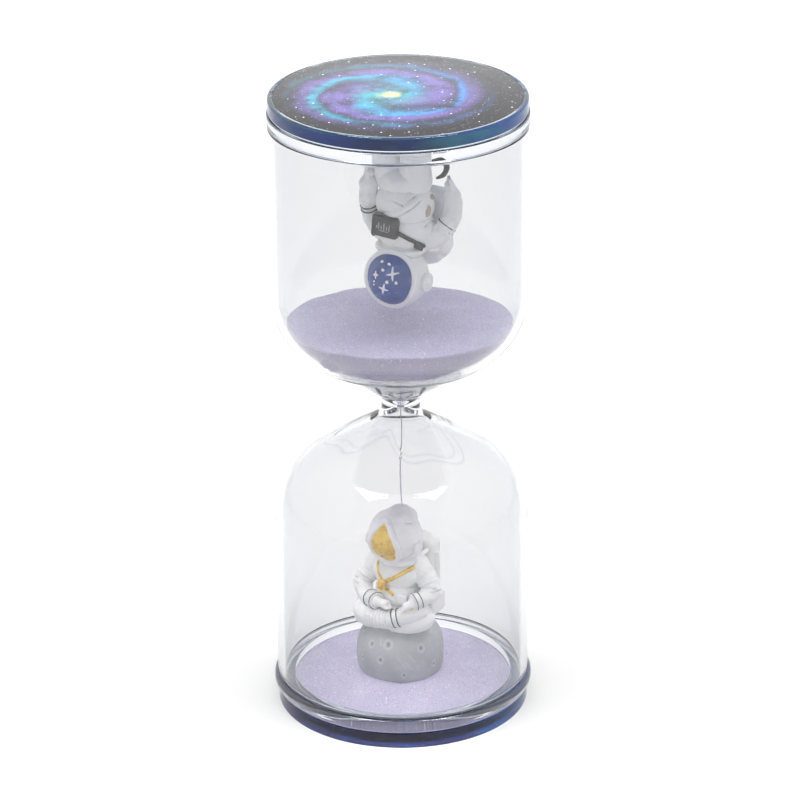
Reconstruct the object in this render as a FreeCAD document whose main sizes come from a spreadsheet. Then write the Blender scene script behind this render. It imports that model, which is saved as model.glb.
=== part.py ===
import FreeCAD, Part
import math
import os

import Sketcher

# A space hourglass: one flame-worked glass body closed at both ends by a printed acrylic disc on a clear
# collar. A seated astronaut rides on a moon in the lower bulb and a standing one hangs from the lid of the
# upper bulb.
# Millimetres, +Z up, origin at the centre of the base.  Each figure is built upright in a frame of its own,
# facing -Y, with its lowest point at z = 0, and is then carried to its place.

SIZES = {
    # the glass
    "total_height": (202.4, "base to lid, over both printed discs"),
    "tube_diameter": (80.0, "outside diameter of the glass tube"),
    "tube_wall": (2.2, "wall of the tube and of the shoulders"),
    "shoulder_radius": (24.0, "outside bend from the tube into the shoulder cone"),
    "shoulder_angle": (58.3, "half angle of the shoulder cone, degrees from the axis"),
    "neck_diameter": (12.2, "outside diameter of the neck"),
    "neck_length": (5.44, "straight outside length of the neck"),
    "neck_fillet": (3.5, "outside rounding where the neck meets a cone"),
    "orifice_diameter": (2.4, "hole that meters the sand"),
    "orifice_length": (1.2, "straight length of that hole"),
    "throat_depth": (7.0, "from the middle of the neck to where the throat opens into the shoulder"),
    # the closed ends
    "disc_diameter": (79.6, "clear disc at each end"),
    "lower_disc_thickness": (5.2, "disc that the hourglass stands on"),
    "upper_disc_thickness": (4.6, "disc on top"),
    "disc_rounding": (0.7, "rounding of each disc's outer edge"),
    "film_diameter": (76.4, "printed film in the outer face of a disc"),
    "film_thickness": (0.25, "film, and the depth of its recess"),
    "film_clearance": (0.1, "gap round the film in its recess"),
    "bond_thickness": (0.2, "each adhesive line"),
    "lower_collar_height": (4.7, "clear ring under the tube"),
    "upper_collar_height": (3.7, "clear ring over the tube"),
    "lower_collar_diameter": (82.2, "outside of the lower ring, a rounded bead"),
    "upper_collar_diameter": (80.4, "outside of the upper ring"),
    "lower_collar_rounding": (2.2, "rounding of the lower ring's outer edges"),
    "upper_collar_rounding": (0.5, "rounding of the upper ring's outer edges"),
    "lower_collar_bore": (69.0, "a wide ring: clear glass shows between the tube's edge and the sand"),
    "upper_collar_bore": (75.2, "flush with the tube's bore"),
    # the sand
    "upper_sand_level": (28.0, "sand surface above the middle of the neck"),
    "upper_sand_tilt": (3.5, "lean of that surface, degrees, higher at the front"),
    "dip_radius": (17.0, "dip that the falling sand draws down"),
    "dip_depth": (4.0, "depth of the dip"),
    "lower_sand_rim": (2.2, "sand at the wall, above the lower disc"),
    "lower_sand_heap": (4.6, "sand heaped round the moon, above the lower disc"),
    "heap_radius": (21.0, "where the heap runs out"),
    "stream_radius": (0.4, "falling sand where it lands"),
    "stream_gap": (0.24, "falling sand clear of the side of the hole that it leaves"),
    # the seated figure and its moon
    "moon_radius": (14.1, "moon at its widest"),
    "moon_crown": (15.2, "moon from its widest level to its crown"),
    "moon_level": (10.0, "widest level above the lower disc"),
    "seated_x": (-0.8, "place of the moon's axis"),
    "seated_y": (0.6, "place of the moon's axis"),
    "seated_turn": (-30.0, "turn of the seated figure about +Z, degrees"),
    "seated_torso_width": (17.0, "seated torso, side to side"),
    "seated_torso_depth": (13.6, "seated torso, front to back"),
    "seated_torso_height": (25.0, "seated torso, top to bottom"),
    "seated_torso_level": (32.0, "middle of the seated torso"),
    "hood_radius": (8.8, "round of the hood"),
    "hood_level": (51.4, "middle of the hood"),
    "hood_forward": (3.0, "hood in front of the torso's middle"),
    "hood_peak_reach": (11.6, "tip of the hood's point, behind the middle of the hood"),
    "hood_peak_base": (6.4, "radius of that point at the middle of the hood"),
    "hood_peak_tip": (1.4, "radius of its tip"),
    "hood_peak_rise": (2.0, "the point, above the middle of the hood"),
    "gold_visor_width": (11.0, "gold visor"),
    "gold_visor_height": (14.4, "gold visor"),
    "gold_visor_depth": (8.0, "gold visor, half of it inside the hood"),
    "gold_visor_inset": (2.7, "middle of the gold visor, behind the front of the hood"),
    "hood_cap_radius": (2.1, "round cap on each side of the hood"),
    "hood_cap_height": (1.2, "how far each cap stands proud"),
    "seated_pack_width": (17.0, "seated figure's backpack"),
    "seated_pack_depth": (8.6, "seated figure's backpack"),
    "seated_pack_height": (27.0, "seated figure's backpack"),
    "seated_pack_level": (21.0, "foot of that backpack"),
    "seated_pack_gap": (6.2, "face of that backpack behind the torso's middle"),
    "seated_pack_rounding": (2.0, "rounding of that backpack's edges"),
    "harness_radius": (0.75, "gold strap"),
    "buckle_width": (3.0, "gold buckle"),
    "buckle_height": (3.6, "gold buckle"),
    "buckle_depth": (1.6, "gold buckle"),
    "buckle_proud": (0.55, "how far the buckle stands out from the chest"),
    "seated_arm_radius": (3.0, "seated figure's arm at the shoulder"),
    "seated_wrist_radius": (2.1, "seated figure's arm at the wrist"),
    "seated_leg_radius": (3.7, "seated figure's thigh"),
    "seated_shin_radius": (3.0, "seated figure's shin and boot"),
    # the hanging figure
    "hanging_x": (1.5, "place of the hanging figure's axis"),
    "hanging_y": (1.0, "place of the hanging figure's axis"),
    "hanging_turn": (-32.0, "turn of the hanging figure about +Z, degrees"),
    "hanging_torso_width": (18.0, "hanging torso, side to side"),
    "hanging_torso_depth": (14.6, "hanging torso, front to back"),
    "hanging_torso_height": (28.0, "hanging torso, top to bottom"),
    "hanging_torso_level": (32.0, "middle of the hanging torso"),
    "helmet_radius": (10.0, "round helmet"),
    "helmet_level": (53.8, "middle of the helmet"),
    "helmet_forward": (3.6, "helmet in front of the torso's middle"),
    "blue_visor_width": (15.2, "blue visor"),
    "blue_visor_height": (17.0, "blue visor"),
    "blue_visor_depth": (10.0, "blue visor, half of it inside the helmet"),
    "blue_visor_inset": (3.85, "middle of the blue visor, behind the front of the helmet"),
    "helmet_cap_radius": (3.0, "round cap on each side of the helmet"),
    "helmet_cap_height": (1.4, "how far each cap stands proud"),
    "hanging_pack_width": (16.0, "hanging figure's backpack"),
    "hanging_pack_depth": (8.0, "hanging figure's backpack"),
    "hanging_pack_height": (26.0, "hanging figure's backpack"),
    "hanging_pack_level": (26.0, "foot of that backpack"),
    "hanging_pack_gap": (6.4, "face of that backpack behind the torso's middle"),
    "hanging_pack_rounding": (2.4, "rounding of that backpack's edges"),
    "chest_pack_width": (8.4, "dark pack on the chest"),
    "chest_pack_height": (7.2, "dark pack on the chest"),
    "chest_pack_depth": (3.2, "dark pack on the chest"),
    "chest_pack_proud": (1.1, "how far that pack stands out from the chest"),
    "chest_pack_rounding": (0.6, "rounding of that pack's edges"),
    "chest_pack_level": (34.4, "middle of the chest pack"),
    "strap_radius": (0.8, "dark strap round the body"),
    "hanging_arm_radius": (3.3, "hanging figure's arm at the shoulder"),
    "hanging_wrist_radius": (2.4, "hanging figure's arm at the wrist"),
    "hanging_leg_radius": (4.6, "hanging figure's thigh"),
    "hanging_boot_radius": (4.1, "hanging figure's ankle"),
    "sole_height": (2.4, "boot sole"),
    "sole_margin": (0.5, "how far a sole stands out round the ankle"),
}

# Joints of the limbs, each in its figure's own frame: out to the side, towards the back, up.
JOINTS = {
    "seated_shoulder": (6.6, 0.5, 39.0),
    "seated_elbow": (11.2, -0.6, 31.5),
    "seated_wrist": (7.6, -8.2, 30.2),
    "seated_hip": (4.0, -1.0, 26.5),
    "seated_knee": (9.2, -6.0, 24.6),
    "seated_ankle": (1.4, -9.6, 24.6),
    "hanging_shoulder": (7.6, 0.5, 40.0),
    "hanging_elbow": (13.4, 0.0, 27.6),
    "hanging_wrist": (9.6, -7.6, 31.0),
    "hanging_hip": (4.6, 0.0, 22.0),
    "hanging_knee": (5.6, -1.8, 12.0),
    "hanging_ankle": (6.0, 0.0, 5.0),
}
AXES = ("side", "back", "up")

# A cone whose two ends are equal isn't a cone, so its far end is drawn a hair thinner.
CONE_END = 0.999
# An edge's rounding stays under half of the box's thinnest side.
MOST_ROUNDING = 0.45

doc = FreeCAD.newDocument("space_hourglass")
sheet = doc.addObject("Spreadsheet::Sheet", "sizes")


def fill_sheet():
    """One row a size: its name, its plain number under an alias, and what it measures."""
    rows = [(name, value, note) for name, (value, note) in SIZES.items()]
    for joint, place in JOINTS.items():
        rows += [(f"{joint}_{axis}", value, f"{joint}, {axis}") for axis, value in zip(AXES, place)]
    for row, (name, value, note) in enumerate(rows, start=1):
        sheet.set(f"A{row}", name)
        sheet.set(f"B{row}", str(value))
        sheet.set(f"C{row}", note)
        sheet.setAlias(f"B{row}", name)
    doc.recompute()


def size(expression):
    """The number that an expression on the sheet comes to now."""
    return float(sheet.evalExpression(expression))


def bind(thing, **expressions):
    for prop, expression in expressions.items():
        thing.setExpression(prop, expression)
    return thing


# Expressions that more than one piece shares.
TUBE_RADIUS = "sizes.tube_diameter / 2"
BORE_RADIUS = "(sizes.tube_diameter / 2 - sizes.tube_wall)"
NECK_LEVEL = "sizes.total_height / 2"
CONE_SLOPE = "tan(sizes.shoulder_angle)"
CONE_START = "sizes.neck_length / 2"
# The inside of a shoulder runs beside its outside, one wall away.
BORE_SHIFT = "sizes.tube_wall / cos(sizes.shoulder_angle)"
SHOULDER_CORNER = f"({CONE_START} + ({TUBE_RADIUS} - sizes.neck_diameter / 2) / {CONE_SLOPE})"
THROAT_RADIUS = (
    f"(sizes.neck_diameter / 2 + (sizes.throat_depth - {CONE_START}) * {CONE_SLOPE} - {BORE_SHIFT})"
)
BORE_CORNER = f"(sizes.throat_depth + ({BORE_RADIUS} - {THROAT_RADIUS}) / {CONE_SLOPE})"
SAND_RADIUS = "sizes.lower_collar_bore / 2"
HOLE_RADIUS = "sizes.orifice_diameter / 2"
HOLE_END = "sizes.orifice_length / 2"


class End:
    """Levels at one closed end, as expressions; depth is measured in from the outer face."""

    def __init__(self, side):
        self.side = side
        self.disc = f"sizes.{side}_disc_thickness"
        self.collar = f"({self.disc} + sizes.bond_thickness)"
        self.collar_end = f"({self.collar} + sizes.{side}_collar_height)"
        self.tube = f"({self.collar_end} + sizes.bond_thickness)"

    def level(self, depth):
        return depth if self.side == "lower" else f"(sizes.total_height - {depth})"


LOWER = End("lower")
UPPER = End("upper")


def plane_of(body, role):
    return next(part for part in body.Origin.OriginFeatures if part.Role == role)


def turned(label, outline):
    """A body turned about the axis from an outline of (radius, height) expressions, corner by corner."""
    body = doc.addObject("PartDesign::Body", label)
    body.Label = label
    sketch = body.newObject("Sketcher::SketchObject", f"{label}_outline")
    sketch.AttachmentSupport = [(plane_of(body, "XZ_Plane"), "")]
    sketch.MapMode = "FlatFace"
    corners = [FreeCAD.Vector(size(radius), size(height), 0) for radius, height in outline]
    count = len(corners)
    for number, corner in enumerate(corners):
        sketch.addGeometry(Part.LineSegment(corner, corners[(number + 1) % count]), False)
    for number in range(count):
        sketch.addConstraint(Sketcher.Constraint("Coincident", number, 2, (number + 1) % count, 1))
    for number, (corner, (radius, height)) in enumerate(zip(corners, outline)):
        place_corner(sketch, number, "DistanceX", -2, corner.x, radius)
        place_corner(sketch, number, "DistanceY", -1, corner.y, height)
    turn = body.newObject("PartDesign::Revolution", f"{label}_turn")
    turn.Profile = (sketch, [""])
    turn.ReferenceAxis = (sketch, ["V_Axis"])
    turn.Angle = 360.0
    doc.recompute()
    return body


def place_corner(sketch, number, kind, axis, value, expression):
    """Fixes a corner's distance from one axis, or puts it on that axis."""
    if expression == "0":
        sketch.addConstraint(Sketcher.Constraint("PointOnObject", number, 1, axis))
        return
    index = sketch.addConstraint(Sketcher.Constraint(kind, -1, 1, number, 1, value))
    sketch.setExpression(f"Constraints[{index}]", expression)


def rings_at(shape, places):
    """Names of the circular edges that lie at the given (radius, height) expressions."""
    found = []
    for radius, height in places:
        for number, edge in enumerate(shape.Edges, start=1):
            curve = edge.Curve
            if not isinstance(curve, Part.Circle):
                continue
            if abs(curve.Radius - size(radius)) < 1e-4 and abs(curve.Center.z - size(height)) < 1e-4:
                found.append(f"Edge{number}")
    return found


def rounded(body, name, radius, places):
    """Fillets the rings of a turned body at the given places."""
    base = body.Tip
    fillet = body.newObject("PartDesign::Fillet", name)
    fillet.Base = (base, rings_at(base.Shape, places))
    bind(fillet, Radius=radius)
    doc.recompute()
    return fillet


def both_sides(distance):
    """The two levels at one distance from the middle of the neck."""
    return [f"({NECK_LEVEL} - {distance})", f"({NECK_LEVEL} + {distance})"]


def glass():
    """The glass body: a solid of its outside less a solid of its bore."""
    neck_radius = "sizes.neck_diameter / 2"
    bottom, top = LOWER.level(LOWER.tube), UPPER.level(UPPER.tube)
    low_corner, high_corner = both_sides(SHOULDER_CORNER)
    low_neck, high_neck = both_sides(CONE_START)
    outside = turned(
        "glass_outside",
        [
            ("0", bottom), (TUBE_RADIUS, bottom), (TUBE_RADIUS, low_corner), (neck_radius, low_neck),
            (neck_radius, high_neck), (TUBE_RADIUS, high_corner), (TUBE_RADIUS, top), ("0", top),
        ],
    )
    rounded(outside, "outside_shoulders", "sizes.shoulder_radius",
            [(TUBE_RADIUS, low_corner), (TUBE_RADIUS, high_corner)])
    rounded(outside, "outside_neck", "sizes.neck_fillet",
            [(neck_radius, low_neck), (neck_radius, high_neck)])

    low_bore, high_bore = both_sides(BORE_CORNER)
    low_throat, high_throat = both_sides("sizes.throat_depth")
    low_hole, high_hole = both_sides(HOLE_END)
    bore = turned(
        "glass_bore",
        [
            ("0", bottom), (BORE_RADIUS, bottom), (BORE_RADIUS, low_bore), (THROAT_RADIUS, low_throat),
            (HOLE_RADIUS, low_hole), (HOLE_RADIUS, high_hole), (THROAT_RADIUS, high_throat),
            (BORE_RADIUS, high_bore), (BORE_RADIUS, top), ("0", top),
        ],
    )
    rounded(bore, "bore_shoulders", "sizes.shoulder_radius - sizes.tube_wall",
            [(BORE_RADIUS, low_bore), (BORE_RADIUS, high_bore)])
    return cut("glass_body", outside, [bore]), bore


def cut(label, base, tools, placement=None):
    """base less one tool after another, as a piece of its own."""
    form = base
    for number, tool in enumerate(tools, start=1):
        piece = doc.addObject("Part::Cut", label if number == len(tools) else f"{label}_cut_{number}")
        piece.Base = form
        piece.Tool = tool
        form = piece
    form.Label = label
    if placement:
        form.Placement = placement
    return form


def fused(label, pieces):
    """The pieces as one solid."""
    whole = doc.addObject("Part::MultiFuse", label)
    whole.Label = label
    whole.Shapes = pieces
    return whole


def carried(label, form, placement):
    """A finished form taken to its place."""
    piece = doc.addObject("Part::Compound", label)
    piece.Label = label
    piece.Links = [form]
    piece.Placement = placement
    return piece


def closed_end(end):
    """Disc, film, collar and the two adhesive lines at one end."""
    side, level = end.side, end.level
    disc_radius = "sizes.disc_diameter / 2"
    film_radius = "sizes.film_diameter / 2"
    recess_radius = f"({film_radius} + sizes.film_clearance)"
    film = "sizes.film_thickness"
    disc = turned(
        f"{side}_disc",
        [
            ("0", level(film)), (recess_radius, level(film)), (recess_radius, level("0")),
            (disc_radius, level("0")), (disc_radius, level(end.disc)), ("0", level(end.disc)),
        ],
    )
    rounded(disc, f"{side}_disc_edge", "sizes.disc_rounding",
            [(disc_radius, level("0")), (disc_radius, level(end.disc))])
    print_film = turned(f"{side}_galaxy_print", block("0", film_radius, level("0"), level(film)))

    collar_bore = f"sizes.{side}_collar_bore / 2"
    collar_radius = f"sizes.{side}_collar_diameter / 2"
    rounding = f"sizes.{side}_collar_rounding"
    collar_levels = level(end.collar), level(end.collar_end)
    collar = turned(f"{side}_collar_ring", block(collar_bore, collar_radius, *collar_levels))
    rounded(collar, f"{side}_collar_edges", rounding, [(collar_radius, edge) for edge in collar_levels])
    # Adhesive lies only where the flat faces meet.
    collar_flat = f"{collar_radius} - {rounding}"
    disc_flat = f"{disc_radius} - sizes.disc_rounding"
    disc_bond = turned(f"{side}_disc_bond", block(
        collar_bore, f"min({collar_flat}; {disc_flat})", level(end.disc), level(end.collar)))
    tube_bond = turned(f"{side}_tube_bond", block(
        BORE_RADIUS, f"min({collar_flat}; {TUBE_RADIUS})", level(end.collar_end), level(end.tube)))
    return [disc, print_film, collar, disc_bond, tube_bond]


def block(inner, outer, start, end):
    """Outline of a plain ring, or of a plain disc when inner is zero."""
    return [(inner, start), (outer, start), (outer, end), (inner, end)]


def ellipsoid(name, widths, place):
    """An ellipsoid from its three whole widths and the place of its middle, all expressions."""
    form = doc.addObject("Part::Ellipsoid", name)
    across, deep, tall = widths
    # Radius1 lies along Z, Radius2 along X and Radius3 along Y.
    bind(form, Radius1=f"({tall}) / 2", Radius2=f"({across}) / 2", Radius3=f"({deep}) / 2")
    return at(form, place)


def at(form, place):
    """Binds a form's place to three expressions."""
    for axis, expression in zip("xyz", place):
        form.setExpression(f".Placement.Base.{axis}", expression)
    return form


def box(name, widths, place):
    """A box centred on place in X and standing on it in Z, its near face at place in Y."""
    form = doc.addObject("Part::Box", name)
    across, deep, tall = widths
    bind(form, Length=across, Width=deep, Height=tall)
    side, back, up = place
    return at(form, (f"{side} - ({across}) / 2", back, up))


def softened(label, form, radius):
    """A box with all its edges rounded, as far as its thinnest side allows."""
    doc.recompute()
    thinnest = min(form.Length.Value, form.Width.Value, form.Height.Value)
    round_off = min(size(radius), thinnest * MOST_ROUNDING)
    piece = doc.addObject("Part::Fillet", label)
    piece.Base = form
    piece.Edges = [(number, round_off, round_off) for number in range(1, len(form.Shape.Edges) + 1)]
    return piece


def joint(name, hand):
    """A limb's joint; hand is +1 for the figure's left and -1 for its right."""
    side, back, up = (size(f"sizes.{name}_{axis}") for axis in AXES)
    return FreeCAD.Vector(hand * side, back, up)


def limb(name, places, radii):
    """Tapered lengths between round joints, as one form."""
    pieces = []
    for number, (place, radius) in enumerate(zip(places, radii)):
        ball = doc.addObject("Part::Sphere", f"{name}_joint_{number}")
        bind(ball, Radius=radius)
        ball.Placement = FreeCAD.Placement(place, FreeCAD.Rotation())
        pieces.append(ball)
    for number, (start, end) in enumerate(zip(places, places[1:])):
        length = doc.addObject("Part::Cone", f"{name}_length_{number}")
        bind(length, Radius1=radii[number], Radius2=f"{radii[number + 1]} * {CONE_END}")
        length.Height = (end - start).Length
        turn = FreeCAD.Rotation(FreeCAD.Vector(0, 0, 1), end - start)
        length.Placement = FreeCAD.Placement(start, turn)
        pieces.append(length)
    return fused(name, pieces)


def side_caps(name, radius, spread, place):
    """A round cap on each side of a head, as one cylinder through it."""
    form = doc.addObject("Part::Cylinder", name)
    back, up = place
    bind(form, Radius=radius, Height=spread)
    form.Placement = FreeCAD.Placement(FreeCAD.Vector(), FreeCAD.Rotation(FreeCAD.Vector(0, 1, 0), 90))
    return at(form, (f"-({spread}) / 2", back, up))


def partition(forms, placement):
    """Cuts each form by every one before it that it meets, so that the pieces fit face to face."""
    doc.recompute()
    pieces = []
    for number, (label, form) in enumerate(forms):
        tools = [other for _, other in forms[:number] if meets(form, other)]
        if tools:
            pieces.append(cut(label, form, tools, placement))
        else:
            pieces.append(carried(label, form, placement))
    return pieces


def meets(form, other):
    return form.Shape.common(other.Shape).Volume > 1e-6


def arm(figure, hand):
    """Shoulder, elbow and wrist of one arm; the last ball is the glove."""
    places = [joint(f"{figure}_{name}", hand) for name in ("shoulder", "elbow", "wrist")]
    shoulder, wrist = f"sizes.{figure}_arm_radius", f"sizes.{figure}_wrist_radius"
    side = "left" if hand > 0 else "right"
    return limb(f"{figure}_{side}_arm_form", places, [shoulder, f"({shoulder} + {wrist}) / 2", wrist])


def leg(figure, hand, radii):
    """Hip, knee and ankle of one leg."""
    places = [joint(f"{figure}_{name}", hand) for name in ("hip", "knee", "ankle")]
    side = "left" if hand > 0 else "right"
    return limb(f"{figure}_{side}_leg_form", places, radii)


def seated_figure():
    """The moon and the astronaut that sits on it, in the frame whose floor is the lower disc."""
    middle = ("0", "0")
    moon = ellipsoid("moon_form", ("2 * sizes.moon_radius", "2 * sizes.moon_radius",
                     "2 * sizes.moon_crown"), (*middle, "sizes.moon_level"))
    # The moon is cut flat where it stands on the disc.
    bind(moon, Angle1="-asin(sizes.moon_level / sizes.moon_crown)")

    hood_back = "-sizes.hood_forward"
    dome = doc.addObject("Part::Sphere", "hood_dome")
    bind(dome, Radius="sizes.hood_radius")
    at(dome, ("0", hood_back, "sizes.hood_level"))
    peak = doc.addObject("Part::Cone", "hood_peak")
    bind(peak, Radius1="sizes.hood_peak_base", Radius2="sizes.hood_peak_tip",
         Height="sizes.hood_peak_reach")
    peak.Placement = FreeCAD.Placement(FreeCAD.Vector(), FreeCAD.Rotation(FreeCAD.Vector(1, 0, 0), -90))
    at(peak, ("0", hood_back, "sizes.hood_level + sizes.hood_peak_rise"))
    hood = fused("hood_form", [dome, peak])
    visor_back = f"{hood_back} - sizes.hood_radius + sizes.gold_visor_inset"
    visor = ellipsoid("gold_visor_form", ("sizes.gold_visor_width", "sizes.gold_visor_depth",
                      "sizes.gold_visor_height"), ("0", visor_back, "sizes.hood_level"))
    caps = side_caps("hood_caps_form", "sizes.hood_cap_radius",
                     "2 * (sizes.hood_radius + sizes.hood_cap_height)",
                     (hood_back, "sizes.hood_level - sizes.hood_cap_radius"))
    torso = ellipsoid("seated_torso_form", ("sizes.seated_torso_width", "sizes.seated_torso_depth",
                      "sizes.seated_torso_height"), (*middle, "sizes.seated_torso_level"))
    pack = softened("seated_backpack_form", box(
        "seated_backpack_box",
        ("sizes.seated_pack_width", "sizes.seated_pack_depth", "sizes.seated_pack_height"),
        ("0", "sizes.seated_pack_gap", "sizes.seated_pack_level")), "sizes.seated_pack_rounding")

    chest = "-sizes.seated_torso_depth / 2"
    buckle = box("buckle_form", ("sizes.buckle_width", "sizes.buckle_depth", "sizes.buckle_height"),
                 ("0", f"{chest} - sizes.buckle_proud", "sizes.seated_torso_level"))
    straps = []
    for hand, side in ((-1, "right"), (1, "left")):
        start = FreeCAD.Vector(hand * size("sizes.buckle_width"), -size("sizes.seated_torso_depth") / 2,
                               size("sizes.seated_torso_level + sizes.buckle_height"))
        arm_radius = size("sizes.seated_arm_radius")
        over = joint("seated_shoulder", hand) + FreeCAD.Vector(0, -arm_radius, arm_radius)
        straps.append(limb(f"{side}_strap", [start, over], ["sizes.harness_radius"] * 2))
    harness = fused("harness_form", straps)

    thigh, shin = "sizes.seated_leg_radius", "sizes.seated_shin_radius"
    leg_radii = [thigh, f"({thigh} + {shin}) / 2", shin]
    forms = [
        ("gold_visor", visor), ("hood", hood), ("hood_caps", caps), ("gold_buckle", buckle),
        ("gold_harness", harness), ("seated_left_arm", arm("seated", 1)),
        ("seated_right_arm", arm("seated", -1)), ("seated_torso", torso),
        ("moon_base", moon), ("seated_right_leg", leg("seated", -1, leg_radii)),
        ("seated_left_leg", leg("seated", 1, leg_radii)), ("seated_backpack", pack),
    ]
    return partition(forms, seated_place())


def seated_place():
    floor = size(LOWER.level(LOWER.disc))
    place = FreeCAD.Vector(size("sizes.seated_x"), size("sizes.seated_y"), floor)
    return FreeCAD.Placement(place, FreeCAD.Rotation(size("sizes.seated_turn"), 0, 0))


def hanging_place():
    """Upside down, feet on the inside of the lid."""
    roof = size(UPPER.level(UPPER.disc))
    place = FreeCAD.Vector(size("sizes.hanging_x"), size("sizes.hanging_y"), roof)
    over = FreeCAD.Rotation(FreeCAD.Vector(0, 1, 0), 180)
    turn = FreeCAD.Rotation(FreeCAD.Vector(0, 0, 1), size("sizes.hanging_turn"))
    return FreeCAD.Placement(place, turn.multiply(over))


def hanging_figure():
    """The astronaut that stands on the lid's underside, in the frame whose floor is that face."""
    helmet_back = "-sizes.helmet_forward"
    helmet_width = "2 * sizes.helmet_radius"
    helmet = ellipsoid("helmet_form", (helmet_width, helmet_width, helmet_width),
                       ("0", helmet_back, "sizes.helmet_level"))
    visor_back = f"{helmet_back} - sizes.helmet_radius + sizes.blue_visor_inset"
    visor = ellipsoid("blue_visor_form", ("sizes.blue_visor_width", "sizes.blue_visor_depth",
                      "sizes.blue_visor_height"), ("0", visor_back, "sizes.helmet_level"))
    caps = side_caps("helmet_caps_form", "sizes.helmet_cap_radius",
                     f"{helmet_width} + 2 * sizes.helmet_cap_height",
                     (helmet_back, "sizes.helmet_level"))
    torso = ellipsoid("hanging_torso_form", ("sizes.hanging_torso_width", "sizes.hanging_torso_depth",
                      "sizes.hanging_torso_height"), ("0", "0", "sizes.hanging_torso_level"))
    pack = softened("hanging_backpack_form", box(
        "hanging_backpack_box",
        ("sizes.hanging_pack_width", "sizes.hanging_pack_depth", "sizes.hanging_pack_height"),
        ("0", "sizes.hanging_pack_gap", "sizes.hanging_pack_level")), "sizes.hanging_pack_rounding")
    chest = "-sizes.hanging_torso_depth / 2"
    chest_pack = softened("chest_pack_form", box(
        "chest_pack_box", ("sizes.chest_pack_width", "sizes.chest_pack_depth", "sizes.chest_pack_height"),
        ("0", f"{chest} - sizes.chest_pack_proud",
         "sizes.chest_pack_level - sizes.chest_pack_height / 2")), "sizes.chest_pack_rounding")
    strap = doc.addObject("Part::Torus", "strap_form")
    bind(strap, Radius1="sizes.hanging_torso_width / 2 - sizes.strap_radius / 2",
         Radius2="sizes.strap_radius")
    at(strap, ("0", "0", "sizes.chest_pack_level + sizes.chest_pack_height / 2"))

    thigh, ankle = "sizes.hanging_leg_radius", "sizes.hanging_boot_radius"
    leg_radii = [thigh, f"({thigh} + {ankle}) / 2", ankle]
    soles = []
    for hand, side in ((-1, "right"), (1, "left")):
        foot = joint("hanging_ankle", hand)
        sole = doc.addObject("Part::Cylinder", f"{side}_sole")
        bind(sole, Radius=f"{ankle} + sizes.sole_margin", Height="sizes.sole_height")
        soles.append(at(sole, (str(foot.x), str(foot.y), "0")))
    boots = fused("hanging_soles_form", soles)
    forms = [
        ("blue_visor", visor), ("helmet", helmet), ("helmet_caps", caps), ("chest_pack", chest_pack),
        ("body_strap", strap), ("hanging_left_arm", arm("hanging", 1)),
        ("hanging_right_arm", arm("hanging", -1)), ("hanging_torso", torso),
        ("hanging_soles", boots), ("hanging_right_leg", leg("hanging", -1, leg_radii)),
        ("hanging_left_leg", leg("hanging", 1, leg_radii)), ("hanging_backpack", pack),
    ]
    return partition(forms, hanging_place())


def sand_in_shoulder(bore):
    """Sand in the upper bulb: what fills the bore from the metering hole to a leaning surface with a dip."""
    middle = size(NECK_LEVEL)
    level = size("sizes.upper_sand_level")
    # Twice the tube's width, so that it still covers the bore when it leans.
    reach = 2 * size("sizes.tube_diameter")
    above = doc.addObject("Part::Box", "above_upper_sand")
    bind(above, Length="2 * sizes.tube_diameter", Width="2 * sizes.tube_diameter",
         Height="sizes.total_height")
    lean = FreeCAD.Rotation(FreeCAD.Vector(1, 0, 0), -size("sizes.upper_sand_tilt"))
    corner = FreeCAD.Vector(0, 0, middle + level) + lean.multVec(FreeCAD.Vector(-reach / 2, -reach / 2, 0))
    above.Placement = FreeCAD.Placement(corner, lean)
    below = doc.addObject("Part::Cylinder", "below_upper_sand")
    bind(below, Radius="sizes.tube_diameter / 2", Height=f"{NECK_LEVEL} - {HOLE_END}")
    # The dip's cone is drawn twice as tall as it is deep, so that it clears the leaning surface.
    dip = doc.addObject("Part::Cone", "sand_dip")
    dip.Radius1 = 0
    bind(dip, Radius2="2 * sizes.dip_radius", Height="2 * sizes.dip_depth")
    at(dip, ("0", "0", f"{NECK_LEVEL} + sizes.upper_sand_level - sizes.dip_depth"))
    return cut("upper_sand", bore, [above, below, dip])


def sand_on_disc(moon):
    """Sand that has fallen: level at the wall and heaped round the moon."""
    floor = LOWER.level(LOWER.disc)
    rim = f"{floor} + sizes.lower_sand_rim"
    heap = f"{floor} + sizes.lower_sand_heap"
    bed = turned("lower_sand_form", [
        ("0", floor), (SAND_RADIUS, floor), (SAND_RADIUS, rim), ("sizes.heap_radius", rim),
        ("sizes.moon_radius", heap), ("0", heap),
    ])
    return cut("lower_sand", bed, [moon])


def sand_in_air(hood):
    """The stream, from the metering hole down to the seated figure's hood."""
    form = doc.addObject("Part::Cone", "falling_sand_form")
    start = f"{LOWER.disc} + sizes.hood_level"
    bind(form, Radius1="sizes.stream_radius", Radius2=f"{HOLE_RADIUS} - sizes.stream_gap",
         Height=f"{NECK_LEVEL} - {HOLE_END} - ({start})")
    at(form, ("0", "0", start))
    return cut("falling_sand", form, [hood])


def faults(pieces):
    """What is wrong with the document or with a piece; empty when all is well."""
    found = [f"{thing.Name}: {thing.State}" for thing in doc.Objects
             if "Invalid" in thing.State or "Error" in thing.State]
    for piece in pieces:
        if piece.Shape.isNull() or not piece.Shape.isValid() or not piece.Shape.Solids:
            found.append(f"{piece.Label}: no valid solid")
    return found


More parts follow.
